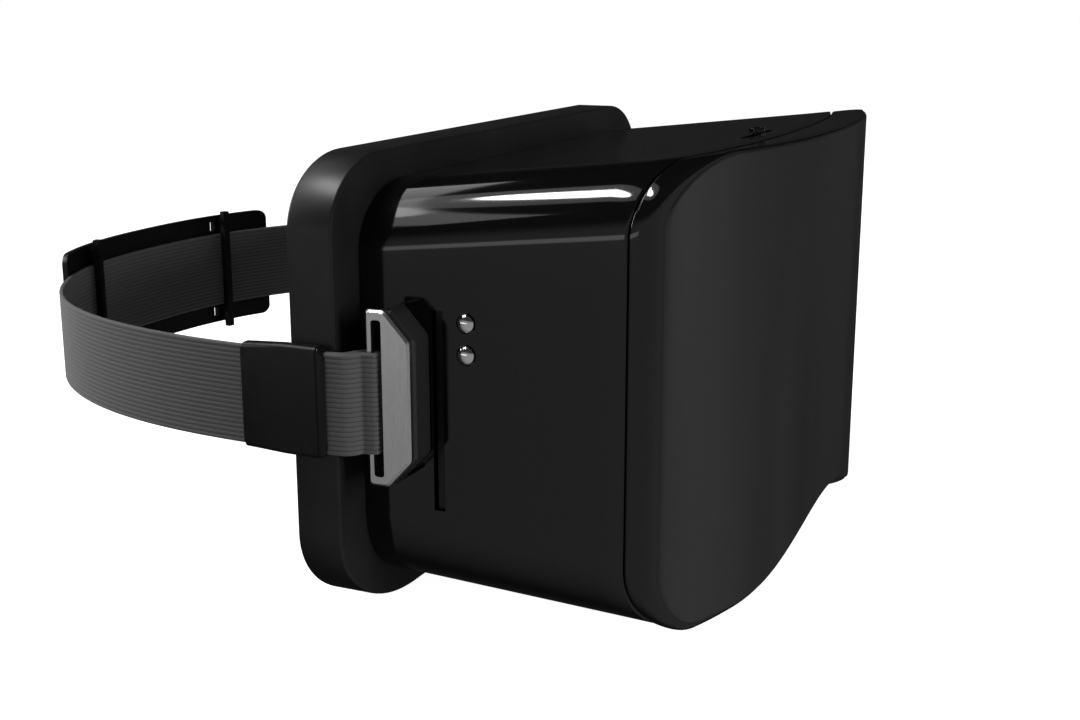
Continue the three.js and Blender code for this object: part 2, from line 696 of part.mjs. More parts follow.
// A domed cap with a flange inside the wall and a short stem behind it.
function volumeButton(z) {
  const flange = SIDE_WALL - 0.4;
  const flangeInside = flange - 0.8;
  const stemEnd = flangeInside - 1.5;
  const rim = HOUSING_REAR.halfWidth + 0.1;
  const profile = [
    [0, stemEnd], [BUTTON.stem, stemEnd], [BUTTON.stem, flangeInside],
    [BUTTON.flange, flangeInside], [BUTTON.flange, flange], [BUTTON.radius, flange],
  ];
  const steps = 5;
  for (let k = 0; k < steps; k++) {
    const angle = (k / steps) * (Math.PI / 2);
    profile.push([BUTTON.radius * Math.cos(angle), rim + BUTTON.dome * Math.sin(angle)]);
  }
  profile.push([0, rim + BUTTON.dome]);
  return latheX(profile, BUTTON.y, z, -1);
}

function buttonSwitch(z) {
  const { inner, outer, half, plunger } = SWITCH;
  const body = box([-outer, -inner], [BUTTON.y - half, BUTTON.y + half], [z - half, z + half]);
  return body.add(cylinderX(BUTTON.stem, BUTTON.y, z, -outer - plunger, -outer + 0.5));
}

for (const side of SIDES) {
  add(`${side.name}_vent_insert`, ventInsert(side), NYLON);
}
BUTTON.heights.forEach((z, k) => {
  add(`${BUTTON_NAMES[k]}_button`, volumeButton(z), CHROME);
  add(`${BUTTON_NAMES[k]}_switch`, buttonSwitch(z), STEEL);
});
const buttonBoard = box([-80, -78.4], [BUTTON.y - 4.5, BUTTON.y + 5], BUTTON_BOARD_Z);
add("button_board", buttonBoard, CIRCUIT);

// ---- Strap ----

// A point on the loop, moved outwards by offset; turn runs from 0 at the left to 1 at the right.
function loopPoint(turn, offset) {
  const angle = turn * Math.PI;
  const round = (value) => Math.sign(value) * Math.abs(value) ** (2 / LOOP.power);
  const x = LOOP.halfWidth * round(Math.cos(angle));
  const y = LOOP.start + LOOP.depth * round(Math.sin(angle));
  const power = LOOP.power;
  const slopeX = Math.sign(x) * Math.abs(x / LOOP.halfWidth) ** (power - 1) / LOOP.halfWidth;
  const slopeY = Math.abs((y - LOOP.start) / LOOP.depth) ** (power - 1) / LOOP.depth;
  const length = Math.hypot(slopeX, slopeY);
  return [x + (offset * slopeX) / length, y + (offset * slopeY) / length];
}

// The strap's centre line for one side, from under the slider, round the anchor bar and back.
function sidePath() {
  const inner = LOOP.halfWidth - STRAP_THICKNESS - STRAP_LAYER_GAP;
  const barMiddle = (ANCHOR_SLOT.rear + ANCHOR.rear) / 2;
  const innerTurn = ANCHOR.inner - GAP - STRAP_THICKNESS / 2;
  const outerTurn = ANCHOR.outer + GAP + STRAP_THICKNESS / 2;
  const frontTurn = ANCHOR_SLOT.rear - GAP - STRAP_THICKNESS / 2;
  return [
    [inner, SLIDER.front + SLIDER.length - 2],
    [inner, FRAME.front - 2.5],
    [innerTurn, ANCHOR.rear + 1.1],
    [innerTurn, barMiddle],
    [innerTurn + 0.4, frontTurn],
    [outerTurn - 0.4, frontTurn],
    [outerTurn, barMiddle],
    [LOOP.halfWidth, FRAME.front - 4],
    [LOOP.halfWidth, LOOP.start],
  ];
}

function strapPath() {
  const left = sidePath();
  const rear = [];
  const steps = 40;
  for (let k = 1; k < steps; k++) {
    rear.push(loopPoint(k / steps, 0));
  }
  const right = left.map(([x, y]) => [-x, y]).reverse();
  return [...left, ...rear, ...right];
}

// A band of the given thickness along a path in X and Y.
function bandShape(path, thickness) {
  const half = thickness / 2;
  const offsets = path.map(([x, y], k) => {
    const [bx, by] = path[Math.max(k - 1, 0)];
    const [cx, cy] = path[Math.min(k + 1, path.length - 1)];
    const before = new THREE.Vector2(x - bx, y - by).normalize();
    const after = new THREE.Vector2(cx - x, cy - y).normalize();
    const along = before.clone().add(after).normalize();
    const first = before.lengthSq() > 0 ? before : after;
    const stretch = half / Math.max(0.5, Math.abs(along.dot(first)));
    return [-along.y * stretch, along.x * stretch];
  });
  const outer = path.map(([x, y], k) => [x - offsets[k][0], y - offsets[k][1]]);
  const inner = path.map(([x, y], k) => [x + offsets[k][0], y + offsets[k][1]]);
  return polygon([...outer, ...inner.reverse()]);
}

function rearPlate() {
  const near = STRAP_THICKNESS / 2 + GAP;
  const far = near + REAR_PLATE.thickness;
  const turns = [];
  const steps = 24;
  const edge = 0.21;
  for (let k = 0; k <= steps; k++) {
    turns.push(edge + (k / steps) * (1 - 2 * edge));
  }
  const outer = turns.map((turn) => loopPoint(turn, far));
  const inner = turns.map((turn) => loopPoint(turn, near));
  const half = REAR_PLATE.height / 2;
  const z = [STRAP_MIDDLE - half, STRAP_MIDDLE + half];
  const slab = extrudeZ(polygon([...outer, ...inner.reverse()]), ...z);
  const { halfWidth, corner } = REAR_PLATE;
  const face = rectangle(-halfWidth, halfWidth, ...z, corner);
  let plate = slab.intersect(extrudeY(face, 40, REAR_Y + 5, 4));
  for (const side of SIDES) {
    const x = side.x * (KEEPER.x - KEEPER.hole.inboard);
    for (const up of [-1, 1]) {
      const middle = STRAP_MIDDLE + up * (STRAP_WIDTH / 2 + KEEPER.hole.beyond);
      const holeZ = [middle - KEEPER.hole.half, middle + KEEPER.hole.half];
      plate = plate.subtract(box([x - 1, x + 1], [REAR_Y / 2, REAR_Y + 5], holeZ));
    }
  }
  return plate;
}

// A bar over the strap's inner face with a short leg to the plate above and below the strap.
function strapKeeper(side) {
  const turn = Math.acos((KEEPER.x / LOOP.halfWidth) ** (LOOP.power / 2)) / Math.PI;
  const [x, y] = loopPoint(turn, 0);
  const [nx, ny] = loopPoint(turn, 1);
  const tilt = Math.atan2(nx - x, ny - y);
  const inside = -STRAP_THICKNESS / 2 - GAP;
  const legTo = STRAP_THICKNESS / 2;
  const half = REAR_PLATE.height / 2 + KEEPER.overhang;
  const width = [-KEEPER.width / 2, KEEPER.width / 2];
  let keeper = box(width, [inside - KEEPER.depth, inside], [-half, half]);
  const legStart = STRAP_WIDTH / 2 + GAP;
  const legEnd = STRAP_WIDTH / 2 + KEEPER.leg;
  for (const z of [[-legEnd, -legStart], [legStart, legEnd]]) {
    keeper = keeper.add(box(width, [inside - 0.5, legTo], z));
  }
  const geometry = geometryOf(keeper);
  geometry.rotateZ(-tilt);
  geometry.translate(x, y, STRAP_MIDDLE);
  return mirrored(solid(geometry), side);
}

function mirrored(manifold, side) {
  return side.x < 0 ? manifold.mirror([1, 0, 0]) : manifold;
}

function anchorOutline(rear) {
  const { front, bottom, top } = ANCHOR;
  const { y, z } = ANCHOR_CHAMFER;
  return polygon([
    [front, bottom + z], [front + y, bottom], [rear, bottom],
    [rear, top], [front + y, top], [front, top - z],
  ]);
}

function anchorPlate(side) {
  const plate = extrudeX(anchorOutline(ANCHOR.rear), ANCHOR.inner, ANCHOR.outer);
  const { front, rear, bottom, top } = ANCHOR_SLOT;
  const slot = extrudeX(rectangle(front, rear, bottom, top, 1), ANCHOR.inner - 1, ANCHOR.outer + 1);
  return mirrored(plate.subtract(slot), side);
}

function anchorBase(side) {
  const block = extrudeX(anchorOutline(ANCHOR_BASE.rear), ANCHOR_BASE.inner, ANCHOR_BASE.outer);
  const hole = cylinderX(
    PIVOT.radius + GAP, PIVOT.y, PIVOT.z, ANCHOR_BASE.inner - 1, PIVOT.outer + 0.4,
  );
  return mirrored(block.subtract(hole), side);
}

function pivotScrew(side) {
  const washer = [SIDE_WALL - 3.2, SIDE_WALL - 0.4];
  return latheX([
    [0, washer[0]], [PIVOT.washer, washer[0]], [PIVOT.washer, washer[1]],
    [PIVOT.radius, washer[1]], [PIVOT.radius, PIVOT.outer], [0, PIVOT.outer],
  ], PIVOT.y, PIVOT.z, side.x);
}

// A flat sleeve round both layers of the strap.
function strapSlider(side) {
  const { front, length, skin, clearance, lip } = SLIDER;
  const inside = LOOP.halfWidth - STRAP_THICKNESS * 1.5 - STRAP_LAYER_GAP - clearance;
  const outside = LOOP.halfWidth + STRAP_THICKNESS / 2 + clearance;
  const y = [front, front + length];
  const z = [STRAP_BOTTOM - clearance, STRAP_TOP + clearance];
  const sleeve = box([inside - skin, outside + skin], y, [z[0] - lip, z[1] + lip]);
  const hollow = box([inside, outside], [y[0] - 1, y[1] + 1], z);
  return mirrored(sleeve.subtract(hollow), side);
}

const strap = extrudeZ(bandShape(strapPath(), STRAP_THICKNESS), STRAP_BOTTOM, STRAP_TOP);
add("head_strap", strap, WEBBING);
add("rear_plate", rearPlate(), MATTE_BLACK);
for (const side of SIDES) {
  add(`${side.name}_strap_keeper`, strapKeeper(side), MATTE_BLACK);
  add(`${side.name}_anchor_plate`, anchorPlate(side), SATIN_SILVER);
  add(`${side.name}_anchor_base`, anchorBase(side), GLOSS_BLACK);
  add(`${side.name}_pivot_screw`, pivotScrew(side), STEEL);
  add(`${side.name}_strap_slider`, strapSlider(side), MATTE_BLACK);
}

export default parts;
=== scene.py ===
"""VR headset: finished surfaces, materials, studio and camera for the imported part."""

import json
import math
from collections import namedtuple

import bmesh
import bpy
from mathutils import Matrix, Vector

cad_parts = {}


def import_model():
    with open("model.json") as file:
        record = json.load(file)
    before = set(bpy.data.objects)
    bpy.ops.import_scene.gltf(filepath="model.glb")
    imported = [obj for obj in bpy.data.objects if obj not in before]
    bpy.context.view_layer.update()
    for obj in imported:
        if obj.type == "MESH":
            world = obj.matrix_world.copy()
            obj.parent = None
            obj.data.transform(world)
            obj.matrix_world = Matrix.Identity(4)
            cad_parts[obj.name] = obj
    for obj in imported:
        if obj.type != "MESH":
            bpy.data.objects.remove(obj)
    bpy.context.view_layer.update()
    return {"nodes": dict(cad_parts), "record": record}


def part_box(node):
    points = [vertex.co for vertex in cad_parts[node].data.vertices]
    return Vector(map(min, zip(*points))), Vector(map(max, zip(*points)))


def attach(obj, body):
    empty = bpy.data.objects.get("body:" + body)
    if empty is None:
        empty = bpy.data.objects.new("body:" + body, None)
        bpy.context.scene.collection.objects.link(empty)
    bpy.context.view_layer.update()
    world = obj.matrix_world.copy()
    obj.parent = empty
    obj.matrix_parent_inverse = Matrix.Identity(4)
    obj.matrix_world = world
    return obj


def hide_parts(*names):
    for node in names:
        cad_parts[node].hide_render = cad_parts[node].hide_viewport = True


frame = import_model()
NODES = frame["nodes"]
MM = 0.001


def node_box(name):
    """A CAD node's lowest and highest corners in millimetres."""
    low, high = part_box(name)
    return low / MM, high / MM


Middle = namedtuple("Middle", "x y z")


def node_middle(name):
    """The middle of a CAD node's box in millimetres."""
    low, high = node_box(name)
    return Middle(*((a + b) / 2 for a, b in zip(low, high)))


# ---- Driving dimensions, in millimetres ----

HOUSING_HIGH = node_box("main_housing")[1]
PANEL_LOW, PANEL_HIGH = node_box("front_panel")
FRAME_LOW, FRAME_HIGH = node_box("face_frame")
CUSHION_LOW, CUSHION_HIGH = node_box("face_cushion")
STRAP_LOW, STRAP_HIGH = node_box("head_strap")
GAP = 0.3
WALL = 2.4
SIDES = (("right", -1), ("left", 1))

# An outline seen from the front: its half width, top and bottom, the height and half width of the
# arch over the nose, and the (x, z) sizes of its upper and lower corners.
Outline = namedtuple("Outline", "half top bottom arch reach upper lower")
HOUSING_REAR = Outline(HOUSING_HIGH.x, 109.8, 6.3, 0, 60, (22, 16), (24, 22))
SEAM_ONE = Outline(HOUSING_HIGH.x, HOUSING_HIGH.z, 4.9, 9.3, 60, (18, 17), (18.6, 18.2))
BEZEL_CREST = Outline(87.6, 119.3, 5.2, 11, 60, (20, 16), (14, 17))
SEAM_TWO = Outline(PANEL_HIGH.x, PANEL_HIGH.z, 7.6, 12.3, 60, (21, 15.5), (9, 14.5))
FRAME_OUTLINE = Outline(FRAME_HIGH.x, FRAME_HIGH.z, 0, 12, 30, (24.5, 18), (37, 24.5))
FACE_OPENING = Outline(74, 100, 17, 20, 42, (32, 32), (32, 32))
FRAME_EDGE = 0.8

# A superellipse seen from above: its half width, the Y of its ends, its depth and its power.
Plan = namedtuple("Plan", "half rear bulge power")
FRONT_Y = PANEL_LOW.y
SEAM_ONE_PLAN = Plan(93.4, FRONT_Y + 35.4, 21.4, 2.23)
CREST_PLAN = Plan(91.5, FRONT_Y + 30.2, 24, 2.15)
SEAM_TWO_PLAN = Plan(88.4, FRONT_Y + 27, 27, 2.01)
SEAM_GAP = 0.36
SEAM_DEPTH = 0.9
SEAM_LIP = 0.5
SEAM_OVERLAP = SEAM_GAP - 0.02
# How far along the bezel, from seam to seam, and how deep its surface sinks there.
BEZEL_LIPS = [(0, 0.8), (0.008, 0.4), (0.02, 0.16), (0.04, 0.04)]
BEZEL_LIPS += [(k / 20, 0) for k in range(1, 20)]
BEZEL_LIPS += [(0.965, 0.05), (0.985, 0.2), (1, 0.55)]
# How far the bezel's front edge stands out round the panel and lies behind the panel's edge.
BEZEL_PROUD = 0.35
BEZEL_BEHIND = 0.6
PANEL_THICKNESS = 2.2
PANEL_EDGE = 0.6

VENT_HALF_WIDTH = 1.5
VENT_OVERLAP = 1
BUTTON_HOLE_RADIUS = 2.55
BUTTON_RADIUS = 2.3
BUTTON_DOME = 1.3
BUTTON_FLANGE = 3
BUTTON_FLANGE_SPAN = (1.6, 2.4)
SIDE_CUT = (80, 95)
TOP_CUT = (105, 125)
KNOB_SLOT = [(-14.5, 0), (-9.5, -1.5), (9.5, -1.5), (14.5, 0), (9.5, 1.5), (-9.5, 1.5)]

PAD_SLACK = 1.2
PAD_OVERHANG = 2
PAD_CORNERS = {"upper": (18, 12), "lower": (30, 18)}
PAD_VOXEL = 2.6
PAD_HELD_DEPTH = 0.8
CLOTH_FRAMES = 20

STRAP_THICKNESS = 1.0
STRAP_RIBS = 21
RIB_DEPTH = 0.14
STRAP_EDGE_DEPTH = 0.22
LOOP = Plan(103.6, -4.75, 117.5, 2.36)
REAR_PLATE_THICKNESS = 1.7
REAR_PLATE_CORNER = 3
REAR_PLATE_EDGE = 0.35
KEEPER_HOLE_X = 30.3
KEEPER_HOLE_BEYOND = 2.6
KEEPER_HOLE_HALF = (1, 1.6)
SLIDER_CORNER = 2.4
SLIDER_SKIN = (0.62, 2.45)
SLIDER_CLEARANCE = 0.02
# Distance along the sleeve and how far its surface sinks there: a rounded end, then the lip's groove.
SLIDER_LIP = [(0, 0.5), (0.25, 0.15), (0.6, 0), (1.7, 0), (1.9, 0.25), (2.2, 0.25), (2.4, 0)]

ANCHOR_CUT = (6.5, 7)
ANCHOR_ROUND = 0.9
PLATE_BEVEL = 0.55
PLATE_BAR = 1.6
PLATE_SLOT_WIDTH = 2.7
PLATE_SLOT_END = 2.3
PLATE_SLOT_ROUND = 0.8
# How far the block's outline shrinks and how far behind its outer face.
BLOCK_BEVEL = [(0, 1.6), (0.35, 0.9), (1.5, 0.12), (1.8, 0)]

KNOB_STEM_RADIUS = 1.1
KNOB_HEIGHT = 1.2
TOOTH_SPACING = 1.1
TOOTH_DEPTHS = (1.6, 0.5)
TOOTH_HALF_LENGTH = 0.8
LENS_RIM = (2.4, 2.8)
LENS_FRONT_LEDGE = 2.5
LENS_REAR_LEDGE = 2
LENS_FRONT_BULGE = 2.4
LENS_REAR_BULGE = 6

# The camera and the lights, in metres.
CAMERA_PLACE = Vector((-0.3968, -0.2045, 0.1559))
CAMERA_AZIMUTH = math.radians(-65.97)
CAMERA_PITCH = math.radians(13.95)
CAMERA_LENS = 50.06
FLOOR_HALF = 40

Light = namedtuple(
    "Light", "name place size radiance along shape glossy", defaults=((1, 0, 0), "RECTANGLE", True)
)
LIGHTS_AIM = (0, -0.05, 0.07)
KEY_ALONG = (-0.87, -0.5, 0)
LIGHTS = [
    Light("key", (-0.21, 0.30, 0.8), (0.46, 0.095), 24, KEY_ALONG, "ELLIPSE"),
    Light("halo", (-0.22, 0.31, 0.83), (0.8, 0.26), 0.7, KEY_ALONG, "ELLIPSE"),
    Light("strip", (-0.1, 0.56, 0.8), (1.3, 0.13), 1.5),
    Light("glow", (-0.22, 0.52, 0.78), (0.32, 0.08), 3, shape="ELLIPSE"),
    Light("low_strip", (-1.0, 0.4, 0.05), (0.9, 0.1), 1.25, (0.41, 0.91, 0)),
    Light("rear", (-0.22, 0.9, 0.42), (0.35, 0.35), 13),
    Light("fill", (-0.17, -1.25, 0.28), (0.34, 0.8), 13, glossy=False),
    Light("left", (1.1, -0.4, 0.1), (0.7, 0.4), 7, glossy=False),
]
# The dim wall that the gloss reflects: its direction, how far it spreads round from there and its
# brightness away from it and on it, then the heights between which it fades and how far it fades.
WALL_TOWARD = (-0.75, -0.66, 0)
WALL_SPREAD = (-0.5, 0.6)
WALL_BRIGHTNESS = (0.018, 0.33)
WALL_TOP = (0.42, 0.12)
WALL_FADE = (0.12, 1)

# ---- Mesh helpers ----


def mesh_object(name, points, faces, sharp=35):
    """A smooth-shaded mesh from points in millimetres, with edges sharper than the angle kept."""
    mesh = bpy.data.meshes.new(name)
    mesh.from_pydata([Vector(p) * MM for p in points], [], faces)
    work = bmesh.new()
    work.from_mesh(mesh)
    bmesh.ops.remove_doubles(work, verts=work.verts, dist=1e-7)
    bmesh.ops.recalc_face_normals(work, faces=work.faces)
    work.to_mesh(mesh)
    work.free()
    soften(mesh, sharp)
    piece = bpy.data.objects.new(name, mesh)
    bpy.context.scene.collection.objects.link(piece)
    return piece


def soften(mesh, sharp=35):
    """Shades a mesh smooth, apart from edges sharper than the angle."""
    mesh.polygons.foreach_set("use_smooth", [True] * len(mesh.polygons))
    mesh.set_sharp_from_angle(angle=math.radians(sharp))


def skin_faces(ring_count, count, looped=False):
    """The quads between each ring of points and the next."""
    faces = []
    for r in range(ring_count if looped else ring_count - 1):
        low = r * count
        high = (r + 1) % ring_count * count
        for i in range(count):
            j = (i + 1) % count
            faces.append((low + i, low + j, high + j, high + i))
    return faces


def loft(name, rings, looped=False, sharp=35):
    """A skin through rings of equal point count, capped at both ends unless the rings loop."""
    count = len(rings[0])
    points = [p for ring in rings for p in ring]
    faces = skin_faces(len(rings), count, looped)
    if not looped:
        faces.append(tuple(range(count)))
        faces.append(tuple(range(len(points) - count, len(points))))
    return mesh_object(name, points, faces, sharp)


def bake(piece):
    """Applies every modifier on a piece."""
    graph = bpy.context.evaluated_depsgraph_get()
    mesh = bpy.data.meshes.new_from_object(piece.evaluated_get(graph))
    piece.modifiers.clear()
    piece.data = mesh


def cut(piece, cutters):
    """Takes the cutters out of a piece."""
    for cutter in cutters:
        modifier = piece.modifiers.new("cut", "BOOLEAN")
        modifier.operation = "DIFFERENCE"
        modifier.solver = "EXACT"
        modifier.object = cutter
    bake(piece)
    soften(piece.data)
    for cutter in cutters:
        bpy.data.objects.remove(cutter)


def prism_x(name, section, low, high):
    """A section of (y, z) points drawn out along X."""
    return loft(name, [[(x, y, z) for y, z in section] for x in (low, high)])


def flat_rectangle(middle, half, low, high):
    """A rectangle's four corners, by its middle and half width one way and its ends the other."""
    return [(middle - half, low), (middle + half, low), (middle + half, high), (middle - half, high)]


def circle(middle, radius, steps=48):
    """Points round a circle, in whichever two coordinates middle is given."""
    turns = [2 * math.pi * k / steps for k in range(steps)]
    return [(middle[0] + radius * math.cos(t), middle[1] + radius * math.sin(t)) for t in turns]


def turned(name, profile, place, steps=64, sharp=35):
    """A profile of (radius, distance) turned about an axis; place maps (a, b, distance) to a point."""
    smallest = 1e-3
    rings = []
    for radius, along in profile:
        rings.append([place(a, b, along) for a, b in circle((0, 0), max(radius, smallest), steps)])
    return loft(name, rings, sharp=sharp)


def rounded_edge(radius, steps=4):
    """(inset, distance back) pairs round a quarter circle, from the side wall to the face."""
    turns = [math.pi / 2 * k / steps for k in range(steps + 1)]
    return [(radius * (1 - math.cos(t)), radius * (1 - math.sin(t))) for t in turns]


def quarter_drop(past):
    """How far a unit quarter circle has fallen from its level, for a part of the way round."""
    return 1 - math.sqrt(max(0, 1 - past**2))


# ---- Outlines in X and Z ----


def inset(outline, by):
    """The outline drawn in by a distance, with its corners shrunk to match."""
    smallest = 0.1
    return outline._replace(
        half=outline.half - by,
        top=outline.top - by,
        bottom=outline.bottom + by,
        upper=tuple(max(size - by, smallest) for size in outline.upper),
        lower=tuple(max(size - by, smallest) for size in outline.lower),
    )


def mixed(items, weights):
    """A weighted mix of outlines or of plans, field by field."""
    fields = []
    for values in zip(*items):
        if isinstance(values[0], tuple):
            fields.append(tuple(sum(w * v for w, v in zip(weights, pair)) for pair in zip(*values)))
        else:
            fields.append(sum(w * v for w, v in zip(weights, values)))
    return type(items[0])(*fields)


def underside(outline, x):
    """The height of the outline's lower edge at x, with the arch over the nose."""
    part = min(1, abs(x) / outline.reach)
    return outline.bottom + outline.arch * math.cos(part * math.pi / 2) ** 2


def outline_points(outline, corner_steps=20, edge_steps=48):
    """The outline's (x, z) points, anticlockwise from the lower left corner's end."""
    points = []

    def corner(x, z, size, start):
        for k in range(corner_steps + 1):
            turn = start + k / corner_steps * math.pi / 2
            points.append((x + size[0] * math.cos(turn), z + size[1] * math.sin(turn)))

    def edge(start, end, height):
        for k in range(1, edge_steps):
            x = start + k / edge_steps * (end - start)
            points.append((x, height(x)))

    low_x = outline.half - outline.lower[0]
    high_x = outline.half - outline.upper[0]
    low_z = outline.bottom + outline.lower[1]
    high_z = outline.top - outline.upper[1]
    corner(low_x, low_z, outline.lower, -math.pi / 2)
    corner(high_x, high_z, outline.upper, 0)
    edge(high_x, -high_x, lambda x: outline.top)
    corner(-high_x, high_z, outline.upper, math.pi / 2)
    corner(-low_x, low_z, outline.lower, math.pi)
    edge(-low_x, low_x, lambda x: underside(outline, x))
    return points


def plan_y(plan, x):
    """Where the curve seen from above is at x."""
    part = min(1, abs(x) / plan.half)
    return plan.rear - plan.bulge * (1 - part**plan.power) ** (1 / plan.power)


def ring(outline, depth):
    """The outline's points at the y that depth gives for each x."""
    return [(x, depth(x), z) for x, z in outline_points(outline)]


def seam_one_y(x):
    """The Y of the seam between housing and bezel at x."""
    return plan_y(SEAM_ONE_PLAN, x)


def seam_two_y(x):
    """The Y of the panel's front edge at x."""
    return plan_y(SEAM_TWO_PLAN, x)


# ---- Housing, bezel and front panel ----


def housing_shell():
    """The gloss housing, hollow and with its cut-outs, with a step that closes the first seam."""
    rear_y = HOUSING_HIGH.y
    rings = []
    steps = 10
    for k in range(steps):
        part = k / steps
        outline = mixed((HOUSING_REAR, SEAM_ONE), (1 - part, part))
        rings.append(ring(outline, lambda x: rear_y + part * (seam_one_y(x) - rear_y)))
    for by, back in rounded_edge(SEAM_LIP):
        rings.append(ring(inset(SEAM_ONE, by), lambda x: seam_one_y(x) + back))
    rings.append(ring(inset(SEAM_ONE, SEAM_DEPTH), seam_one_y))
    for by in (SEAM_DEPTH, WALL):
        rings.append(ring(inset(SEAM_ONE, by), lambda x: seam_one_y(x) - SEAM_OVERLAP))
    rings.append(ring(inset(HOUSING_REAR, WALL), lambda x: rear_y))
    shell = loft("housing_shell", rings, looped=True)
    cut(shell, housing_cutters())
    return shell


def housing_cutters():
    """The vent slots, the button holes and the knob's slot."""
    vent_low, vent_high = node_box("right_vent_insert")
    vent_y = (vent_low.y + vent_high.y) / 2
    ends = (vent_low.z + VENT_OVERLAP, vent_high.z - VENT_OVERLAP)
    vent = flat_rectangle(vent_y, VENT_HALF_WIDTH, *ends)
    near, far = SIDE_CUT
    cutters = []
    for _, side in SIDES:
        cutters.append(prism_x("vent_cutter", vent, side * near, side * far))
    for name in ("volume_up_button", "volume_down_button"):
        middle = node_middle(name)
        hole = circle((middle.y, middle.z), BUTTON_HOLE_RADIUS)
        cutters.append(prism_x("button_cutter", hole, -far, -near))
    knob_y = node_middle("ipd_knob").y
    slot_rings = [[(x, knob_y + y, z) for x, y in KNOB_SLOT] for z in TOP_CUT]
    cutters.append(loft("slot_cutter", slot_rings))
    return cutters


def bezel_section():
    """The bezel's outer section as (outline, plan, shift along Y) from the first seam to the second."""
    last = inset(SEAM_TWO, -BEZEL_PROUD)
    last_plan = SEAM_TWO_PLAN._replace(rear=SEAM_TWO_PLAN.rear + BEZEL_BEHIND)
    section = []
    for part, sink in BEZEL_LIPS:
        weights = ((1 - part) * (1 - 2 * part), 4 * part * (1 - part), part * (2 * part - 1))
        outline = mixed((SEAM_ONE, BEZEL_CREST, last), weights)
        plan = mixed((SEAM_ONE_PLAN, CREST_PLAN, last_plan), weights)
        shift = -SEAM_GAP * (1 - part)
        section.append((inset(outline, sink), plan, shift))
    return section


def bezel_band():
    """The gloss bezel between the two seams, with a pocket for the panel."""
    rings = []
    for outline, plan, shift in bezel_section():
        rings.append(ring(outline, lambda x: plan_y(plan, x) + shift))
    pocket = PANEL_THICKNESS + SEAM_GAP
    for by in (-GAP, WALL):
        rings.append(ring(inset(SEAM_TWO, by), lambda x: seam_two_y(x) + pocket))
    rings.append(ring(inset(SEAM_ONE, WALL), lambda x: seam_one_y(x) - SEAM_GAP))
    return loft("bezel_band", rings, looped=True)


def panel_loop(outline, depth, steps=56):
    """Points along the lower edge from left to right, then back along the upper edge."""
    lower = []
    upper = []
    for k in range(-steps, steps + 1):
        x = outline.half * math.sin(math.pi / 2 * k / steps)
        lower.append((x, depth(x), corner_height(outline, x, outline.lower, False)))
        upper.append((x, depth(x), corner_height(outline, x, outline.upper, True)))
    return lower + upper[::-1]


def corner_height(outline, x, size, above):
    """The height of the outline's upper or lower edge at x."""
    past = max(0, abs(x) - (outline.half - size[0])) / size[0]
    drop = size[1] * quarter_drop(past)
    if above:
        return outline.top - drop
    return underside(outline, x) + drop


def front_cover():
    """The satin panel: one curve seen from above, upright everywhere, with a rounded edge."""
    loops = [panel_loop(SEAM_TWO, lambda x: seam_two_y(x) + PANEL_THICKNESS)]
    for by, back in rounded_edge(PANEL_EDGE, 5):
        loops.append(panel_loop(inset(SEAM_TWO, by), lambda x: seam_two_y(x) + back))
    count = len(loops[0])
    points = [p for loop in loops for p in loop]
    faces = skin_faces(len(loops), count)
    for start in (0, len(points) - count):
        end = start + count - 1
        for i in range(count // 2 - 1):
            faces.append((start + i, start + i + 1, end - i - 1, end - i))
    return mesh_object("front_cover", points, faces)


# ---- Face frame and cushion ----


def frame_ring():
    """The ring round the face: crisp edges with a small radius."""
    front = FRAME_LOW.y
    rear = FRAME_HIGH.y
    edge = rounded_edge(FRAME_EDGE)
    rings = []
    for by, back in edge[::-1]:
        rings.append(ring(inset(FRAME_OUTLINE, by), lambda x: front + back))
    for by, back in edge:
        rings.append(ring(inset(FRAME_OUTLINE, by), lambda x: rear - back))
    for by, back in edge[::-1]:
        rings.append(ring(inset(FACE_OPENING, -by), lambda x: rear - back))
    for by, back in edge:
        rings.append(ring(inset(FACE_OPENING, -by), lambda x: front + back))
    return loft("frame_ring", rings, looped=True)


def cushion_core():
    """The cushion before it swells: slightly smaller than the space it fills."""
    outer = inset(FRAME_OUTLINE, FRAME_HIGH.x - CUSHION_HIGH.x + PAD_SLACK)
    outer = outer._replace(**PAD_CORNERS)
    inner = inset(FACE_OPENING, PAD_OVERHANG - PAD_SLACK)
    front = CUSHION_LOW.y
    rear = CUSHION_HIGH.y - PAD_SLACK
    corners = ((outer, front), (outer, rear), (inner, rear), (inner, front))
    rings = [ring(outline, lambda x: y) for outline, y in corners]
    return loft("face_pad", rings, looped=True)


def voxel_remesh(piece, size):
    """Gives a piece an even mesh of about this size, which the cloth solver needs."""
    modifier = piece.modifiers.new("remesh", "REMESH")
    modifier.mode = "VOXEL"
    modifier.voxel_size = size * MM
    bake(piece)


def inflate(piece, fixed_below, pressure=4, cap=1.6):
    """Swells a pad with the cloth solver; points in front of fixed_below stay, others move up to cap."""
    group = piece.vertex_groups.new(name="held")
    held = [v.index for v in piece.data.vertices if v.co.y < fixed_below * MM]
    group.add(held, 1, "REPLACE")
    rest = [v.co.copy() for v in piece.data.vertices]
    cloth = piece.modifiers.new("cloth", "CLOTH")
    cloth.settings.use_pressure = True
    cloth.settings.uniform_pressure_force = pressure
    cloth.settings.effector_weights.gravity = 0
    cloth.settings.vertex_group_mass = "held"
    cloth.point_cache.frame_start = 1
    cloth.point_cache.frame_end = CLOTH_FRAMES
    scene = bpy.context.scene
    for step in range(1, CLOTH_FRAMES + 1):
        scene.frame_set(step)
    bake(piece)
    for vertex, start in zip(piece.data.vertices, rest):
        move = vertex.co - start
        if move.length > cap * MM:
            vertex.co = start + move.normalized() * cap * MM
    scene.frame_set(1)


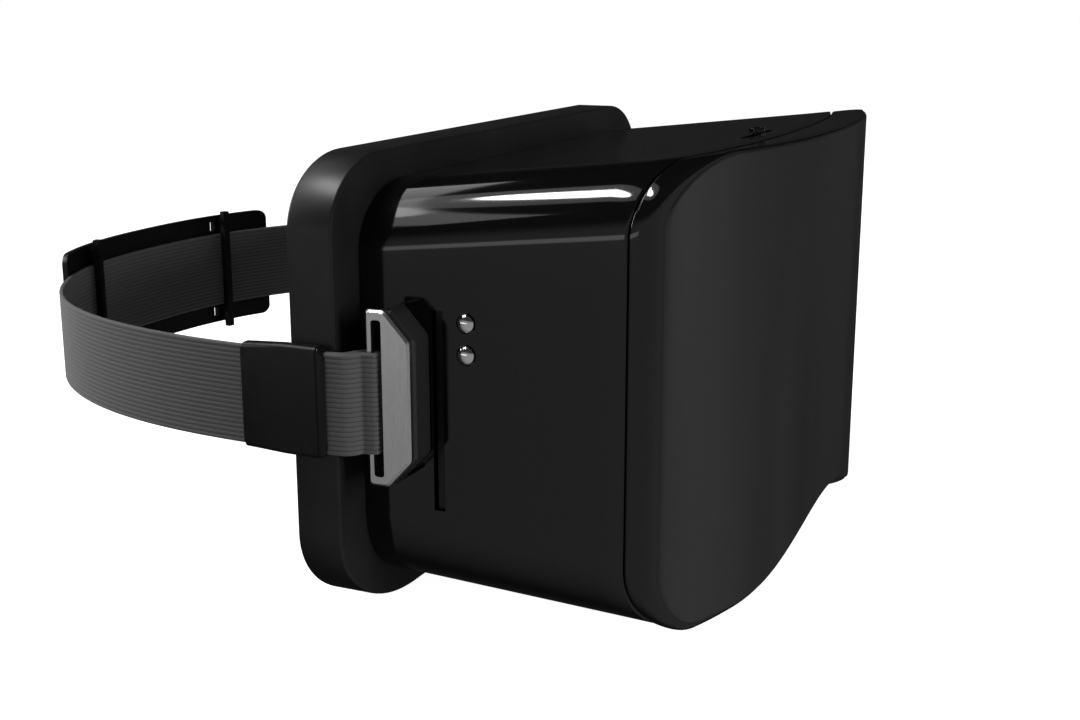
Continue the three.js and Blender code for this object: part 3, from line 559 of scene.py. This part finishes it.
def face_pad():
    pad = cushion_core()
    voxel_remesh(pad, PAD_VOXEL)
    inflate(pad, CUSHION_LOW.y + PAD_HELD_DEPTH)
    pad.modifiers.new("smooth", "SUBSURF").levels = 1
    bake(pad)
    soften(pad.data, 180)
    return pad


# ---- Strap ----


def loop_point(turn):
    """A point on the loop; turn runs from 0 at the left to 1 at the right."""
    angle = turn * math.pi
    sign = 1 if math.cos(angle) >= 0 else -1
    x = LOOP.half * sign * abs(math.cos(angle)) ** (2 / LOOP.power)
    y = LOOP.rear + LOOP.bulge * math.sin(angle) ** (2 / LOOP.power)
    return x, y


def side_path():
    """The strap's centre line on the left, from under the slider, round the anchor's bar and back."""
    plate_low, plate_high = node_box("left_anchor_plate")
    slider_low, slider_high = node_box("left_strap_slider")
    inner = LOOP.half - STRAP_THICKNESS - 0.2
    under = plate_low.x - GAP - STRAP_THICKNESS / 2
    over = plate_high.x + GAP + STRAP_THICKNESS / 2
    bar_rear = plate_high.y
    bar_front = bar_rear - PLATE_BAR
    bar = (bar_rear + bar_front) / 2
    turn = bar_front - GAP - STRAP_THICKNESS / 2
    return [
        (inner, slider_high.y - 2),
        (inner, (slider_low.y + slider_high.y) / 2),
        (inner, FRAME_LOW.y - 1.5),
        ((inner + under) / 2, bar_rear + 3),
        (under, bar_rear + 0.6),
        (under, bar),
        (under + 0.45, turn),
        ((under + over) / 2, turn - 0.25),
        (over - 0.45, turn),
        (over, bar),
        (over + 0.35, bar_rear + 0.8),
        ((over + LOOP.half) / 2 + 0.6, bar_rear + 2.4),
        (LOOP.half, FRAME_LOW.y - 2),
        (LOOP.half, (FRAME_LOW.y + LOOP.rear) / 2),
        (LOOP.half, LOOP.rear),
    ]


def smooth_path(points, steps=4):
    """A Catmull-Rom curve through the points."""
    path = []
    for k in range(len(points) - 1):
        a = Vector(points[max(k - 1, 0)])
        b = Vector(points[k])
        c = Vector(points[k + 1])
        d = Vector(points[min(k + 2, len(points) - 1)])
        for s in range(steps):
            t = s / steps
            bend = (2 * a - 5 * b + 4 * c - d) * t**2 + (3 * b - a - 3 * c + d) * t**3
            path.append(0.5 * (2 * b + (c - a) * t + bend))
    path.append(Vector(points[-1]))
    return path


def strap_section():
    """(offset, height) points round the webbing, with shallow grooves between its ribs."""
    half_width = (STRAP_HIGH.z - STRAP_LOW.z) / 2
    per_rib = 4
    total = STRAP_RIBS * per_rib
    face = []
    for k in range(total + 1):
        groove = RIB_DEPTH * (0.5 + 0.5 * math.cos(2 * math.pi * k / per_rib))
        edge = STRAP_EDGE_DEPTH if k in (0, total) else 0
        face.append((STRAP_THICKNESS / 2 - groove - edge, half_width * (2 * k / total - 1)))
    return face + [(-offset, height) for offset, height in face[::-1]]


def webbing():
    """The head strap as one ribbed band."""
    left = smooth_path(side_path())
    steps = 120
    rear = [Vector(loop_point(k / steps)) for k in range(1, steps)]
    right = [Vector((-p.x, p.y)) for p in left[::-1]]
    path = left + rear + right
    middle = (STRAP_LOW.z + STRAP_HIGH.z) / 2
    section = strap_section()
    rings = []
    for k, point in enumerate(path):
        along = (path[min(k + 1, len(path) - 1)] - path[max(k - 1, 0)]).normalized()
        out = Vector((along.y, -along.x))
        rings.append([(*(point + out * offset), middle + height) for offset, height in section])
    return loft("webbing", rings, sharp=60)


def loop_y(x, offset):
    """Where the loop's curve, moved outward by an offset, has this x."""
    foot = x
    for _ in range(3):
        rise = (1 - abs(foot / LOOP.half) ** LOOP.power) ** (1 / LOOP.power)
        tilt_x = math.copysign(abs(foot / LOOP.half) ** (LOOP.power - 1), foot) / LOOP.half
        out = Vector((tilt_x, rise ** (LOOP.power - 1) / LOOP.bulge)).normalized() * offset
        foot = x - out.x
    return LOOP.rear + LOOP.bulge * rise + out.y


def rear_plate():
    """The curved plate behind the strap, with rounded corners and its four keeper holes."""
    low, high = node_box("rear_plate")
    near = STRAP_THICKNESS / 2 + GAP
    far = near + REAR_PLATE_THICKNESS
    steps = 80
    rings = []
    for k in range(steps + 1):
        x = high.x * math.sin(math.pi * (k / steps - 0.5))
        past = max(0, abs(x) - (high.x - REAR_PLATE_CORNER)) / REAR_PLATE_CORNER
        drop = REAR_PLATE_CORNER * quarter_drop(past)
        inner = loop_y(x, near)
        outer = loop_y(x, far)
        eased = outer - REAR_PLATE_EDGE
        bottom = low.z + drop
        top = high.z - drop
        section = [(inner, bottom), (eased, bottom), (outer, bottom + REAR_PLATE_EDGE)]
        section += [(outer, top - REAR_PLATE_EDGE), (eased, top), (inner, top)]
        rings.append([(x, y, z) for y, z in section])
    plate = loft("rear_plate_cover", rings, sharp=30)
    cut(plate, keeper_holes(low, high))
    return plate


def keeper_holes(low, high):
    """Cutters for the four small holes beside the keepers."""
    half_x, half_z = KEEPER_HOLE_HALF
    cutters = []
    for _, side in SIDES:
        for z in (STRAP_LOW.z - KEEPER_HOLE_BEYOND, STRAP_HIGH.z + KEEPER_HOLE_BEYOND):
            flat = flat_rectangle(side * KEEPER_HOLE_X, half_x, z - half_z, z + half_z)
            rings = [[(a, y, b) for a, b in flat] for y in (low.y - 5, high.y + 5)]
            cutters.append(loft("hole_cutter", rings))
    return cutters


def sleeve_ring(low, high, y, by, corner):
    """A rounded rectangle in X and Z at y, drawn smaller by the given amount."""
    flat = Outline((high.x - low.x) / 2 - by, high.z - by, low.z + by, 0, 1, corner, corner)
    middle = (low.x + high.x) / 2
    points = outline_points(flat, 6, 6)
    return [(middle + x, y, z) for x, z in points]


def slider_sleeve(name):
    """The flat sleeve on the doubled strap: rounded corners and a groove behind its front lip."""
    low, high = node_box(f"{name}_strap_slider")
    low.x += SLIDER_CLEARANCE
    high.x -= SLIDER_CLEARANCE
    length = high.y - low.y
    height = high.z - low.z
    middle = (low.z + high.z) / 2
    stations = SLIDER_LIP + [(length / 2, 0), (length - 0.8, 0), (length - 0.3, 0.15), (length, 0.5)]
    rings = []
    for along, by in stations:
        past = max(0, SLIDER_CORNER - min(along, length - along)) / SLIDER_CORNER
        scale = 1 - SLIDER_CORNER * quarter_drop(past) / height * 2
        outline = sleeve_ring(low, high, low.y + along, by, (1.2, 1.2))
        rings.append([(x, y, middle + (z - middle) * scale) for x, y, z in outline])
    skin_x, skin_z = SLIDER_SKIN
    hollow = Vector((skin_x, 0, skin_z))
    for y in (high.y, low.y):
        rings.append(sleeve_ring(low + hollow, high - hollow, y, 0, (0.5, 0.5)))
    return loft(f"{name}_slider_sleeve", rings, looped=True)


# ---- Anchors, buttons, knob and lenses ----


def anchor_outline(low, high, by):
    """The anchor's (y, z) outline: a rectangle with its two front corners cut off, rounded a little."""
    cut_y, cut_z = ANCHOR_CUT
    slope = by * 0.5
    corners = [
        (high.y - by, low.z + by),
        (high.y - by, high.z - by),
        (low.y + cut_y + slope, high.z - by),
        (low.y + by, high.z - cut_z - slope),
        (low.y + by, low.z + cut_z + slope),
        (low.y + cut_y + slope, low.z + by),
    ]
    steps = 4
    points = []
    for k, corner in enumerate(corners):
        here = Vector(corner)
        before = Vector(corners[k - 1])
        after = Vector(corners[(k + 1) % len(corners)])
        start = here + (before - here).normalized() * ANCHOR_ROUND
        end = here + (after - here).normalized() * ANCHOR_ROUND
        for step in range(steps + 1):
            t = step / steps
            points.append((1 - t) ** 2 * start + 2 * t * (1 - t) * here + t**2 * end)
    return points


def across(low, high, side):
    """The inner and outer X of a box on one side of the headset."""
    ends = sorted((low.x, high.x), key=abs)
    return side * abs(ends[0]), side * abs(ends[1])


def plate_slot(low, high):
    """The (y, z) outline of the strap slot, with rounded corners."""
    turn_by = PLATE_SLOT_ROUND
    rear = high.y - PLATE_BAR - turn_by
    front = high.y - PLATE_BAR - PLATE_SLOT_WIDTH + turn_by
    bottom = low.z + PLATE_SLOT_END + turn_by
    top = high.z - PLATE_SLOT_END - turn_by
    steps = 5
    slot = []
    for quarter, (y, z) in enumerate(((rear, top), (front, top), (front, bottom), (rear, bottom))):
        for step in range(steps + 1):
            turn = (quarter + step / steps) * math.pi / 2
            slot.append((y + turn_by * math.cos(turn), z + turn_by * math.sin(turn)))
    return slot


def anchor_plate(name, side):
    """The satin plate with its long strap slot and bevelled edge."""
    low, high = node_box(f"{name}_anchor_plate")
    inner_x, outer_x = across(low, high, side)
    rings = []
    for by, x in ((0, inner_x), (0, outer_x - side * PLATE_BEVEL), (PLATE_BEVEL, outer_x)):
        rings.append([(x, y, z) for y, z in anchor_outline(low, high, by)])
    plate = loft(f"{name}_plate", rings, sharp=20)
    past = side * 3
    cut(plate, [prism_x("slot_cutter", plate_slot(low, high), inner_x - past, outer_x + past)])
    return plate


def anchor_block(name, side):
    """The gloss block behind the plate, with a broad bevel on its outer edges."""
    low, high = node_box(f"{name}_anchor_base")
    inner_x, outer_x = across(low, high, side)
    stations = [(0, inner_x)]
    stations += [(by, outer_x - side * back) for by, back in BLOCK_BEVEL]
    rings = [[(x, y, z) for y, z in anchor_outline(low, high, by)] for by, x in stations]
    return loft(f"{name}_block", rings, sharp=25)


def button_cap(name):
    """A polished dome on a short skirt, with a flange behind the housing's wall."""
    low, high = node_box(name)
    middle = node_middle(name)
    skirt = low.x + BUTTON_DOME
    flange_rear, flange_front = (high.x - along for along in BUTTON_FLANGE_SPAN)
    profile = [(BUTTON_FLANGE, flange_rear), (BUTTON_FLANGE, flange_front)]
    profile += [(BUTTON_RADIUS, flange_front), (BUTTON_RADIUS, skirt)]
    steps = 12
    for k in range(1, steps + 1):
        turn = k / steps * math.pi / 2
        profile.append((BUTTON_RADIUS * math.cos(turn), skirt - BUTTON_DOME * math.sin(turn)))

    def place(a, b, along):
        return along, middle.y + a, middle.z + b

    return turned(f"{name}_cap", profile, place, sharp=50)


def knob_cap():
    """The low round knob with a dished top on its stem."""
    low, high = node_box("ipd_knob")
    middle = node_middle("ipd_knob")
    radius = (high.x - low.x) / 2
    top = high.z
    under = top - KNOB_HEIGHT
    profile = [(KNOB_STEM_RADIUS, low.z), (KNOB_STEM_RADIUS, under), (radius, under)]
    profile += [(radius, top - 0.2), (radius - 0.2, top), (radius - 0.6, top)]
    profile += [(radius - 0.9, top - 0.25), (0, top - 0.35)]
    return turned("knob_cap", profile, lambda a, b, along: (middle.x + a, middle.y + b, along))


def knob_teeth():
    """Three small ridges on the knob's carriage, in the slot beside it."""
    _, high = node_box("ipd_knob")
    y = node_middle("ipd_knob").y
    foot, crest = (high.z - depth for depth in TOOTH_DEPTHS)
    section = [(-0.35, foot), (-0.15, crest), (0.15, crest), (0.35, foot)]
    points = []
    faces = []
    for k in range(1, 4):
        base = len(points)
        for end in (y - TOOTH_HALF_LENGTH, y + TOOTH_HALF_LENGTH):
            points += [(high.x + TOOTH_SPACING * k + x, end, z) for x, z in section]
        tooth = skin_faces(2, len(section)) + [(0, 1, 2, 3), (4, 5, 6, 7)]
        faces += [tuple(base + corner for corner in face) for face in tooth]
    return mesh_object("knob_teeth", points, faces)


def eye_lens(name):
    """A clear lens that bulges on both faces, more toward the eye."""
    low, high = node_box(name)
    middle = node_middle(name)
    radius = (high.x - low.x) / 2
    rim_front = low.y + LENS_RIM[0]
    rim_rear = rim_front + LENS_RIM[1]
    profile = []
    front_steps = 12
    for k in range(front_steps + 1):
        part = k / front_steps
        bulge = LENS_FRONT_BULGE * (1 - part**2)
        profile.append(((radius - LENS_FRONT_LEDGE) * part, rim_front - bulge))
    profile += [(radius, rim_front), (radius, rim_rear)]
    rear_steps = 16
    for k in range(rear_steps, -1, -1):
        part = k / rear_steps
        bulge = LENS_REAR_BULGE * (1 - part**2)
        profile.append(((radius - LENS_REAR_LEDGE) * part, rim_rear + bulge))
    return turned(f"{name}_glass", profile, lambda a, b, along: (middle.x + a, along, middle.z + b))


# ---- Materials ----

# Where most of a noise texture's values lie.
NOISE_LOW = 0.3
NOISE_HIGH = 0.7


class Shader:
    """A Principled material with short calls for its procedural detail."""

    def __init__(self, name, color, roughness, metallic=0.0):
        self.material = bpy.data.materials.new(name)
        self.material.use_nodes = True
        self.tree = self.material.node_tree
        self.bsdf = self.tree.nodes["Principled BSDF"]
        self.set("Base Color", (*color, 1))
        self.set("Roughness", roughness)
        self.set("Metallic", metallic)

    def set(self, socket, value):
        """Gives one of the surface's own sockets a value."""
        self.bsdf.inputs[socket].default_value = value

    def node(self, kind, **values):
        node = self.tree.nodes.new(kind)
        for key, value in values.items():
            setattr(node, key, value)
        return node

    def place(self, stretch=(1, 1, 1)):
        """Object coordinates in millimetres, stretched along each axis."""
        coordinates = self.node("ShaderNodeTexCoord")
        mapping = self.node("ShaderNodeMapping")
        mapping.inputs["Scale"].default_value = [size / MM for size in stretch]
        self.tree.links.new(coordinates.outputs["Object"], mapping.inputs["Vector"])
        return mapping.outputs["Vector"]

    def noise(self, scale, detail=3, stretch=(1, 1, 1)):
        """A noise pattern; scale counts its features per millimetre."""
        texture = self.node("ShaderNodeTexNoise")
        texture.inputs["Scale"].default_value = scale
        texture.inputs["Detail"].default_value = detail
        self.tree.links.new(self.place(stretch), texture.inputs["Vector"])
        return texture.outputs["Fac"]

    def bands(self, scale, axis, distortion=0.0):
        """Even bands across an axis."""
        texture = self.node("ShaderNodeTexWave", wave_type="BANDS", bands_direction=axis)
        texture.inputs["Scale"].default_value = scale
        texture.inputs["Distortion"].default_value = distortion
        self.tree.links.new(self.place(), texture.inputs["Vector"])
        return texture.outputs["Fac"]

    def cells(self, scale):
        """Distance from the middles of scattered cells."""
        texture = self.node("ShaderNodeTexVoronoi")
        texture.inputs["Scale"].default_value = scale
        self.tree.links.new(self.place(), texture.inputs["Vector"])
        return texture.outputs["Distance"]

    def color_between(self, factor, dark, light, low=0.35, high=0.65):
        """Goes from the dark to the light colour as the factor goes from low to high."""
        ramp = self.node("ShaderNodeValToRGB")
        ramp.color_ramp.elements[0].position = low
        ramp.color_ramp.elements[0].color = (*dark, 1)
        ramp.color_ramp.elements[1].position = high
        ramp.color_ramp.elements[1].color = (*light, 1)
        self.tree.links.new(factor, ramp.inputs["Fac"])
        self.tree.links.new(ramp.outputs["Color"], self.bsdf.inputs["Base Color"])

    def roughness_between(self, factor, smooth, rough):
        """Lets the roughness wander between two values with the factor."""
        spread = self.node("ShaderNodeMapRange")
        spread.inputs["From Min"].default_value = NOISE_LOW
        spread.inputs["From Max"].default_value = NOISE_HIGH
        spread.inputs["To Min"].default_value = smooth
        spread.inputs["To Max"].default_value = rough
        self.tree.links.new(factor, spread.inputs["Value"])
        self.tree.links.new(spread.outputs["Result"], self.bsdf.inputs["Roughness"])

    def bump(self, height, depth, strength=1.0):
        """Raises the surface by depth, in millimetres, where height is 1."""
        node = self.node("ShaderNodeBump")
        node.inputs["Distance"].default_value = depth * MM
        node.inputs["Strength"].default_value = strength
        self.tree.links.new(height, node.inputs["Height"])
        self.tree.links.new(node.outputs["Normal"], self.bsdf.inputs["Normal"])


def gloss_shell():
    """Polished black plastic with a faint ripple and slightly uneven gloss."""
    shader = Shader("gloss_shell", (0.004, 0.004, 0.0042), roughness=0.07)
    shader.roughness_between(shader.noise(0.05, detail=4, stretch=(1, 0.15, 1)), smooth=0.055, rough=0.1)
    shader.bump(shader.noise(0.02, detail=1), depth=0.02, strength=0.25)
    return shader.material


def gloss_block():
    """The anchor's block: black plastic a little less polished than the housing."""
    shader = Shader("gloss_block", (0.02, 0.02, 0.0205), roughness=0.16)
    shader.roughness_between(shader.noise(0.4, detail=3), smooth=0.13, rough=0.2)
    return shader.material


def satin_panel():
    """Satin cover plastic with a fine moulded grain; faint upright streaks in its colour are painted
    reflection.
    """
    shader = Shader("satin_panel", (0.0175, 0.0175, 0.018), roughness=0.34)
    # Upright streaks of painted reflection, mixed into the base colour.
    painted_reflection_streaks = shader.noise(0.03, detail=2, stretch=(1, 1, 0.12))
    dark = (0.0165, 0.0165, 0.017)
    light = (0.022, 0.022, 0.0225)
    shader.color_between(painted_reflection_streaks, dark, light, low=0.42, high=0.6)
    shader.roughness_between(shader.noise(0.04, detail=2, stretch=(1, 1, 0.15)), smooth=0.3, rough=0.4)
    shader.bump(shader.noise(7, detail=2), depth=0.012, strength=0.25)
    return shader.material


def satin_frame():
    """Satin frame plastic with fine level mould lines."""
    shader = Shader("satin_frame", (0.0125, 0.0125, 0.013), roughness=0.36)
    shader.color_between(shader.noise(0.08, detail=3), (0.011, 0.011, 0.0115), (0.0145, 0.0145, 0.015))
    shader.bump(shader.bands(1.4, "Z", distortion=0.3), depth=0.006, strength=0.35)
    shader.set("Specular IOR Level", 0.28)
    return shader.material


def hardware_black():
    """Satin moulded black of the slider, the rear plate and the keepers."""
    shader = Shader("hardware_black", (0.0045, 0.0045, 0.0047), roughness=0.4)
    shader.roughness_between(shader.noise(0.5, detail=3), smooth=0.34, rough=0.46)
    shader.bump(shader.noise(6, detail=2), depth=0.01, strength=0.3)
    shader.set("Specular IOR Level", 0.25)
    return shader.material


def webbing_weave():
    """Grey-black ribbed elastic webbing: grooves between ribs darkened with painted shade, and a fine
    cross weave.
    """
    shader = Shader("webbing_weave", (0.1, 0.1, 0.1), roughness=0.82)
    width = STRAP_HIGH.z - STRAP_LOW.z
    coordinates = shader.node("ShaderNodeTexCoord")
    split = shader.node("ShaderNodeSeparateXYZ")
    shader.tree.links.new(coordinates.outputs["Object"], split.inputs["Vector"])
    phase = shader.node("ShaderNodeMath", operation="MULTIPLY_ADD")
    phase.inputs[1].default_value = STRAP_RIBS / (width * MM) * 2 * math.pi
    phase.inputs[2].default_value = -STRAP_LOW.z / width * STRAP_RIBS * 2 * math.pi
    shader.tree.links.new(split.outputs["Z"], phase.inputs[0])
    groove = shader.node("ShaderNodeMath", operation="COSINE")
    shader.tree.links.new(phase.outputs["Value"], groove.inputs[0])
    # The rib colour, and painted shade for the grooves between ribs.
    rib = (0.1, 0.1, 0.101)
    shadow = (0.055, 0.055, 0.055)
    shader.color_between(groove.outputs["Value"], rib, shadow, low=0.6, high=0.95)
    shader.bump(shader.noise(3.2, detail=2, stretch=(1, 1, 0.35)), depth=0.06, strength=0.5)
    shader.set("Sheen Weight", 0.25)
    shader.set("Sheen Roughness", 0.4)
    return shader.material


def knit_foam():
    """Knitted skin over foam."""
    shader = Shader("knit_foam", (0.02, 0.02, 0.021), roughness=0.95)
    shader.color_between(shader.noise(0.6, detail=3), (0.014, 0.014, 0.015), (0.026, 0.026, 0.027))
    shader.bump(shader.cells(1.3), depth=0.25, strength=0.7)
    shader.set("Sheen Weight", 0.3)
    return shader.material


def satin_silver():
    """Fine-brushed satin metal."""
    shader = Shader("satin_silver", (0.6, 0.6, 0.6), roughness=0.36, metallic=1.0)
    brushing = shader.noise(1.2, detail=3, stretch=(1, 4, 0.3))
    shader.color_between(brushing, (0.56, 0.56, 0.56), (0.64, 0.64, 0.64))
    shader.bump(shader.noise(4, detail=2, stretch=(1, 3, 0.1)), depth=0.006, strength=0.35)
    return shader.material


def polished_chrome():
    """The mirror finish of the volume buttons."""
    shader = Shader("polished_chrome", (0.72, 0.72, 0.73), roughness=0.08, metallic=1.0)
    shader.roughness_between(shader.noise(1.5, detail=2), smooth=0.05, rough=0.12)
    return shader.material


def turned_steel():
    """Machined steel of the rods, screws and knob teeth."""
    shader = Shader("turned_steel", (0.55, 0.55, 0.56), roughness=0.28, metallic=1.0)
    shader.roughness_between(shader.noise(2, detail=3, stretch=(0.1, 1, 1)), smooth=0.22, rough=0.38)
    return shader.material


def inner_black():
    """Matt black inside parts with an etched grain."""
    shader = Shader("inner_black_grain", (0.011, 0.011, 0.012), roughness=0.6)
    shader.roughness_between(shader.noise(1, detail=3), smooth=0.5, rough=0.7)
    shader.bump(shader.noise(5, detail=2), depth=0.02, strength=0.4)
    return shader.material


def gear_nylon():
    """Milky nylon of the rack and pinion."""
    shader = Shader("gear_nylon_milky", (0.6, 0.59, 0.55), roughness=0.42)
    shader.color_between(shader.noise(0.4, detail=3), (0.56, 0.55, 0.51), (0.66, 0.65, 0.61))
    shader.set("Subsurface Weight", 0.1)
    return shader.material


def vent_plastic():
    """The dark strip inside the vent."""
    shader = Shader("vent_plastic", (0.006, 0.006, 0.0061), roughness=0.3)
    shader.roughness_between(shader.noise(0.8, detail=2), smooth=0.25, rough=0.38)
    shader.set("Specular IOR Level", 0.3)
    return shader.material


def optical_glass():
    """Clear lens acrylic."""
    shader = Shader("optical_glass", (0.93, 0.96, 0.97), roughness=0.03)
    shader.set("Transmission Weight", 0.9)
    shader.set("IOR", 1.49)
    shader.roughness_between(shader.noise(0.04, detail=1), smooth=0.02, rough=0.03)
    return shader.material


def screen_glass():
    """The unlit display."""
    shader = Shader("screen_glass", (0.006, 0.007, 0.01), roughness=0.08)
    shader.roughness_between(shader.noise(0.2, detail=2), smooth=0.05, rough=0.12)
    return shader.material


def circuit_mask():
    """Green solder mask with paler tracks under it."""
    shader = Shader("circuit_mask", (0.015, 0.09, 0.045), roughness=0.35)
    tracks = shader.bands(0.25, "DIAGONAL", distortion=6)
    mask = (0.012, 0.075, 0.038)
    track = (0.03, 0.15, 0.07)
    shader.color_between(tracks, mask, track, low=0.4, high=0.5)
    return shader.material


def battery_film():
    """The crinkled foil of the battery pack."""
    shader = Shader("battery_film", (0.3, 0.32, 0.35), roughness=0.35)
    shader.bump(shader.noise(0.15, detail=3), depth=0.3, strength=0.4)
    return shader.material


# ---- Putting the pieces in place ----


def dress(piece, material):
    """Gives a piece one material in place of any it has."""
    piece.data.materials.clear()
    piece.data.materials.append(material)


def install(piece, body, slot, material, *nodes):
    """Puts a finished piece on its body in place of the CAD nodes it stands for."""
    dress(piece, material)
    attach(piece, body)
    if nodes:
        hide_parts(*nodes)
    return piece


def build_casing():
    """The housing, bezel, panel, face ring and cushion."""
    gloss = gloss_shell()
    install(housing_shell(), "headset", "gloss_shell", gloss, "main_housing")
    install(bezel_band(), "headset", "gloss_shell", gloss, "front_bezel")
    install(front_cover(), "headset", "front_cover", satin_panel(), "front_panel")
    install(frame_ring(), "headset", "face_ring", satin_frame(), "face_frame")
    pad = install(face_pad(), "headset", "face_foam", knit_foam(), "face_cushion")


def build_strap():
    """The webbing with its sliders, anchors, rear plate and keepers."""
    weave = webbing_weave()
    black = hardware_black()
    silver = satin_silver()
    block = gloss_block()
    install(webbing(), "strap", "webbing", weave, "head_strap")
    for name, side in SIDES:
        sleeve = slider_sleeve(name)
        install(sleeve, f"{name}_slider", "strap_hardware", black, f"{name}_strap_slider")
        install(anchor_plate(name, side), "strap", "anchor_silver", silver, f"{name}_anchor_plate")
        install(anchor_block(name, side), "strap", "anchor_black", block, f"{name}_anchor_base")
    install(rear_plate(), "strap", "strap_hardware", black, "rear_plate")
    for name, _ in SIDES:
        dress(NODES[f"{name}_strap_keeper"], black)


def build_controls():
    """The volume buttons and the lens knob."""
    chrome = polished_chrome()
    for name in ("volume_up", "volume_down"):
        install(button_cap(f"{name}_button"), name, "button_chrome", chrome, f"{name}_button")
    install(knob_cap(), "left_lens_slide", "knob", gloss_shell(), "ipd_knob")
    install(knob_teeth(), "left_lens_slide", "steel", turned_steel())


def build_inside():
    """The lenses, and a finish for every CAD node that is kept."""
    glass = optical_glass()
    for name, _ in SIDES:
        install(eye_lens(f"{name}_lens"), f"{name}_lens_slide", "lens", glass, f"{name}_lens")
    finishes = {
        "inner_black": inner_black(),
        "steel": turned_steel(),
        "gear_nylon": gear_nylon(),
        "screen": screen_glass(),
        "circuit": circuit_mask(),
        "battery": battery_film(),
        "vent_grey": vent_plastic(),
    }
    for part in frame["record"]["subparts"]:
        if part["material_slot"] in finishes:
            dress(NODES[part["node"]], finishes[part["material_slot"]])


# ---- Studio ----


def aimed(thing, place, target, along=None):
    """Puts a light or camera at a place, facing the target, with its own X axis near along."""
    back = (Vector(place) - Vector(target)).normalized()
    side = Vector(along) if along else Vector((0, 0, 1)).cross(back)
    side = (side - side.dot(back) * back).normalized()
    turn = Matrix((side, back.cross(side), back)).transposed()
    thing.matrix_world = Matrix.Translation(place) @ turn.to_4x4()
    bpy.context.scene.collection.objects.link(thing)


def camera():
    """The camera at the object's near side, level with no roll."""
    data = bpy.data.cameras.new("camera")
    data.lens = CAMERA_LENS
    data.sensor_width = 36
    level = math.cos(CAMERA_PITCH)
    ahead = Vector((
        -math.sin(CAMERA_AZIMUTH) * level,
        math.cos(CAMERA_AZIMUTH) * level,
        -math.sin(CAMERA_PITCH),
    ))
    thing = bpy.data.objects.new("camera", data)
    aimed(thing, CAMERA_PLACE, CAMERA_PLACE + ahead)
    bpy.context.scene.camera = thing


def softbox(light):
    """An area light that faces the object, given by its two sides and the brightness of its face."""
    data = bpy.data.lights.new(light.name, "AREA")
    data.shape = light.shape
    data.size, data.size_y = light.size
    data.energy = light.radiance * math.pi * data.size * data.size_y
    thing = bpy.data.objects.new(light.name, data)
    thing.visible_camera = False
    thing.visible_glossy = light.glossy
    aimed(thing, light.place, LIGHTS_AIM, light.along)


def floor():
    """A plain pale floor that the gloss doesn't mirror."""
    half = FLOOR_HALF / MM
    corners = [(-half, -half, 0), (half, -half, 0), (half, half, 0), (-half, half, 0)]
    plane = mesh_object("floor", corners, [(0, 1, 2, 3)])
    shader = Shader("floor_paper", (0.5, 0.5, 0.5), roughness=0.95)
    shader.set("Emission Color", (1, 1, 1, 1))
    shader.set("Emission Strength", 0.985)
    dress(plane, shader.material)
    plane.visible_glossy = False
    plane.visible_diffuse = False


def ramp(tree, value, source, target):
    """A smooth step across the target range as the value goes across the source range."""
    step = tree.nodes.new("ShaderNodeMapRange")
    step.interpolation_type = "SMOOTHSTEP"
    step.inputs["From Min"].default_value, step.inputs["From Max"].default_value = source
    step.inputs["To Min"].default_value, step.inputs["To Max"].default_value = target
    tree.links.new(value, step.inputs["Value"])
    return step.outputs["Result"]


def combined(tree, operation, first, second):
    """A Math node's result from two sockets."""
    node = tree.nodes.new("ShaderNodeMath")
    node.operation = operation
    tree.links.new(first, node.inputs[0])
    tree.links.new(second, node.inputs[1])
    return node.outputs["Value"]


def world():
    """Even white behind the object; a dim wall at its near side and front lights its gloss."""
    scene_world = bpy.data.worlds.new("studio")
    scene_world.use_nodes = True
    tree = scene_world.node_tree
    back = tree.nodes["Background"]
    back.inputs["Color"].default_value = (1, 1, 1, 1)
    direction = tree.nodes.new("ShaderNodeTexCoord").outputs["Generated"]
    toward_wall = tree.nodes.new("ShaderNodeVectorMath")
    toward_wall.operation = "DOT_PRODUCT"
    toward_wall.inputs[1].default_value = WALL_TOWARD
    tree.links.new(direction, toward_wall.inputs[0])
    split = tree.nodes.new("ShaderNodeSeparateXYZ")
    tree.links.new(direction, split.inputs["Vector"])
    across_wall = ramp(tree, toward_wall.outputs["Value"], WALL_SPREAD, WALL_BRIGHTNESS)
    up_wall = ramp(tree, split.outputs["Z"], WALL_TOP, WALL_FADE)
    wall = combined(tree, "MULTIPLY", across_wall, up_wall)
    seen = tree.nodes.new("ShaderNodeLightPath").outputs["Is Camera Ray"]
    tree.links.new(combined(tree, "MAXIMUM", wall, seen), back.inputs["Strength"])
    bpy.context.scene.world = scene_world


def studio():
    """Camera, floor, surroundings and lights."""
    camera()
    floor()
    world()
    for light in LIGHTS:
        softbox(light)
    bpy.context.scene.view_settings.view_transform = "Standard"


studio()
build_casing()
build_strap()
build_controls()
build_inside()
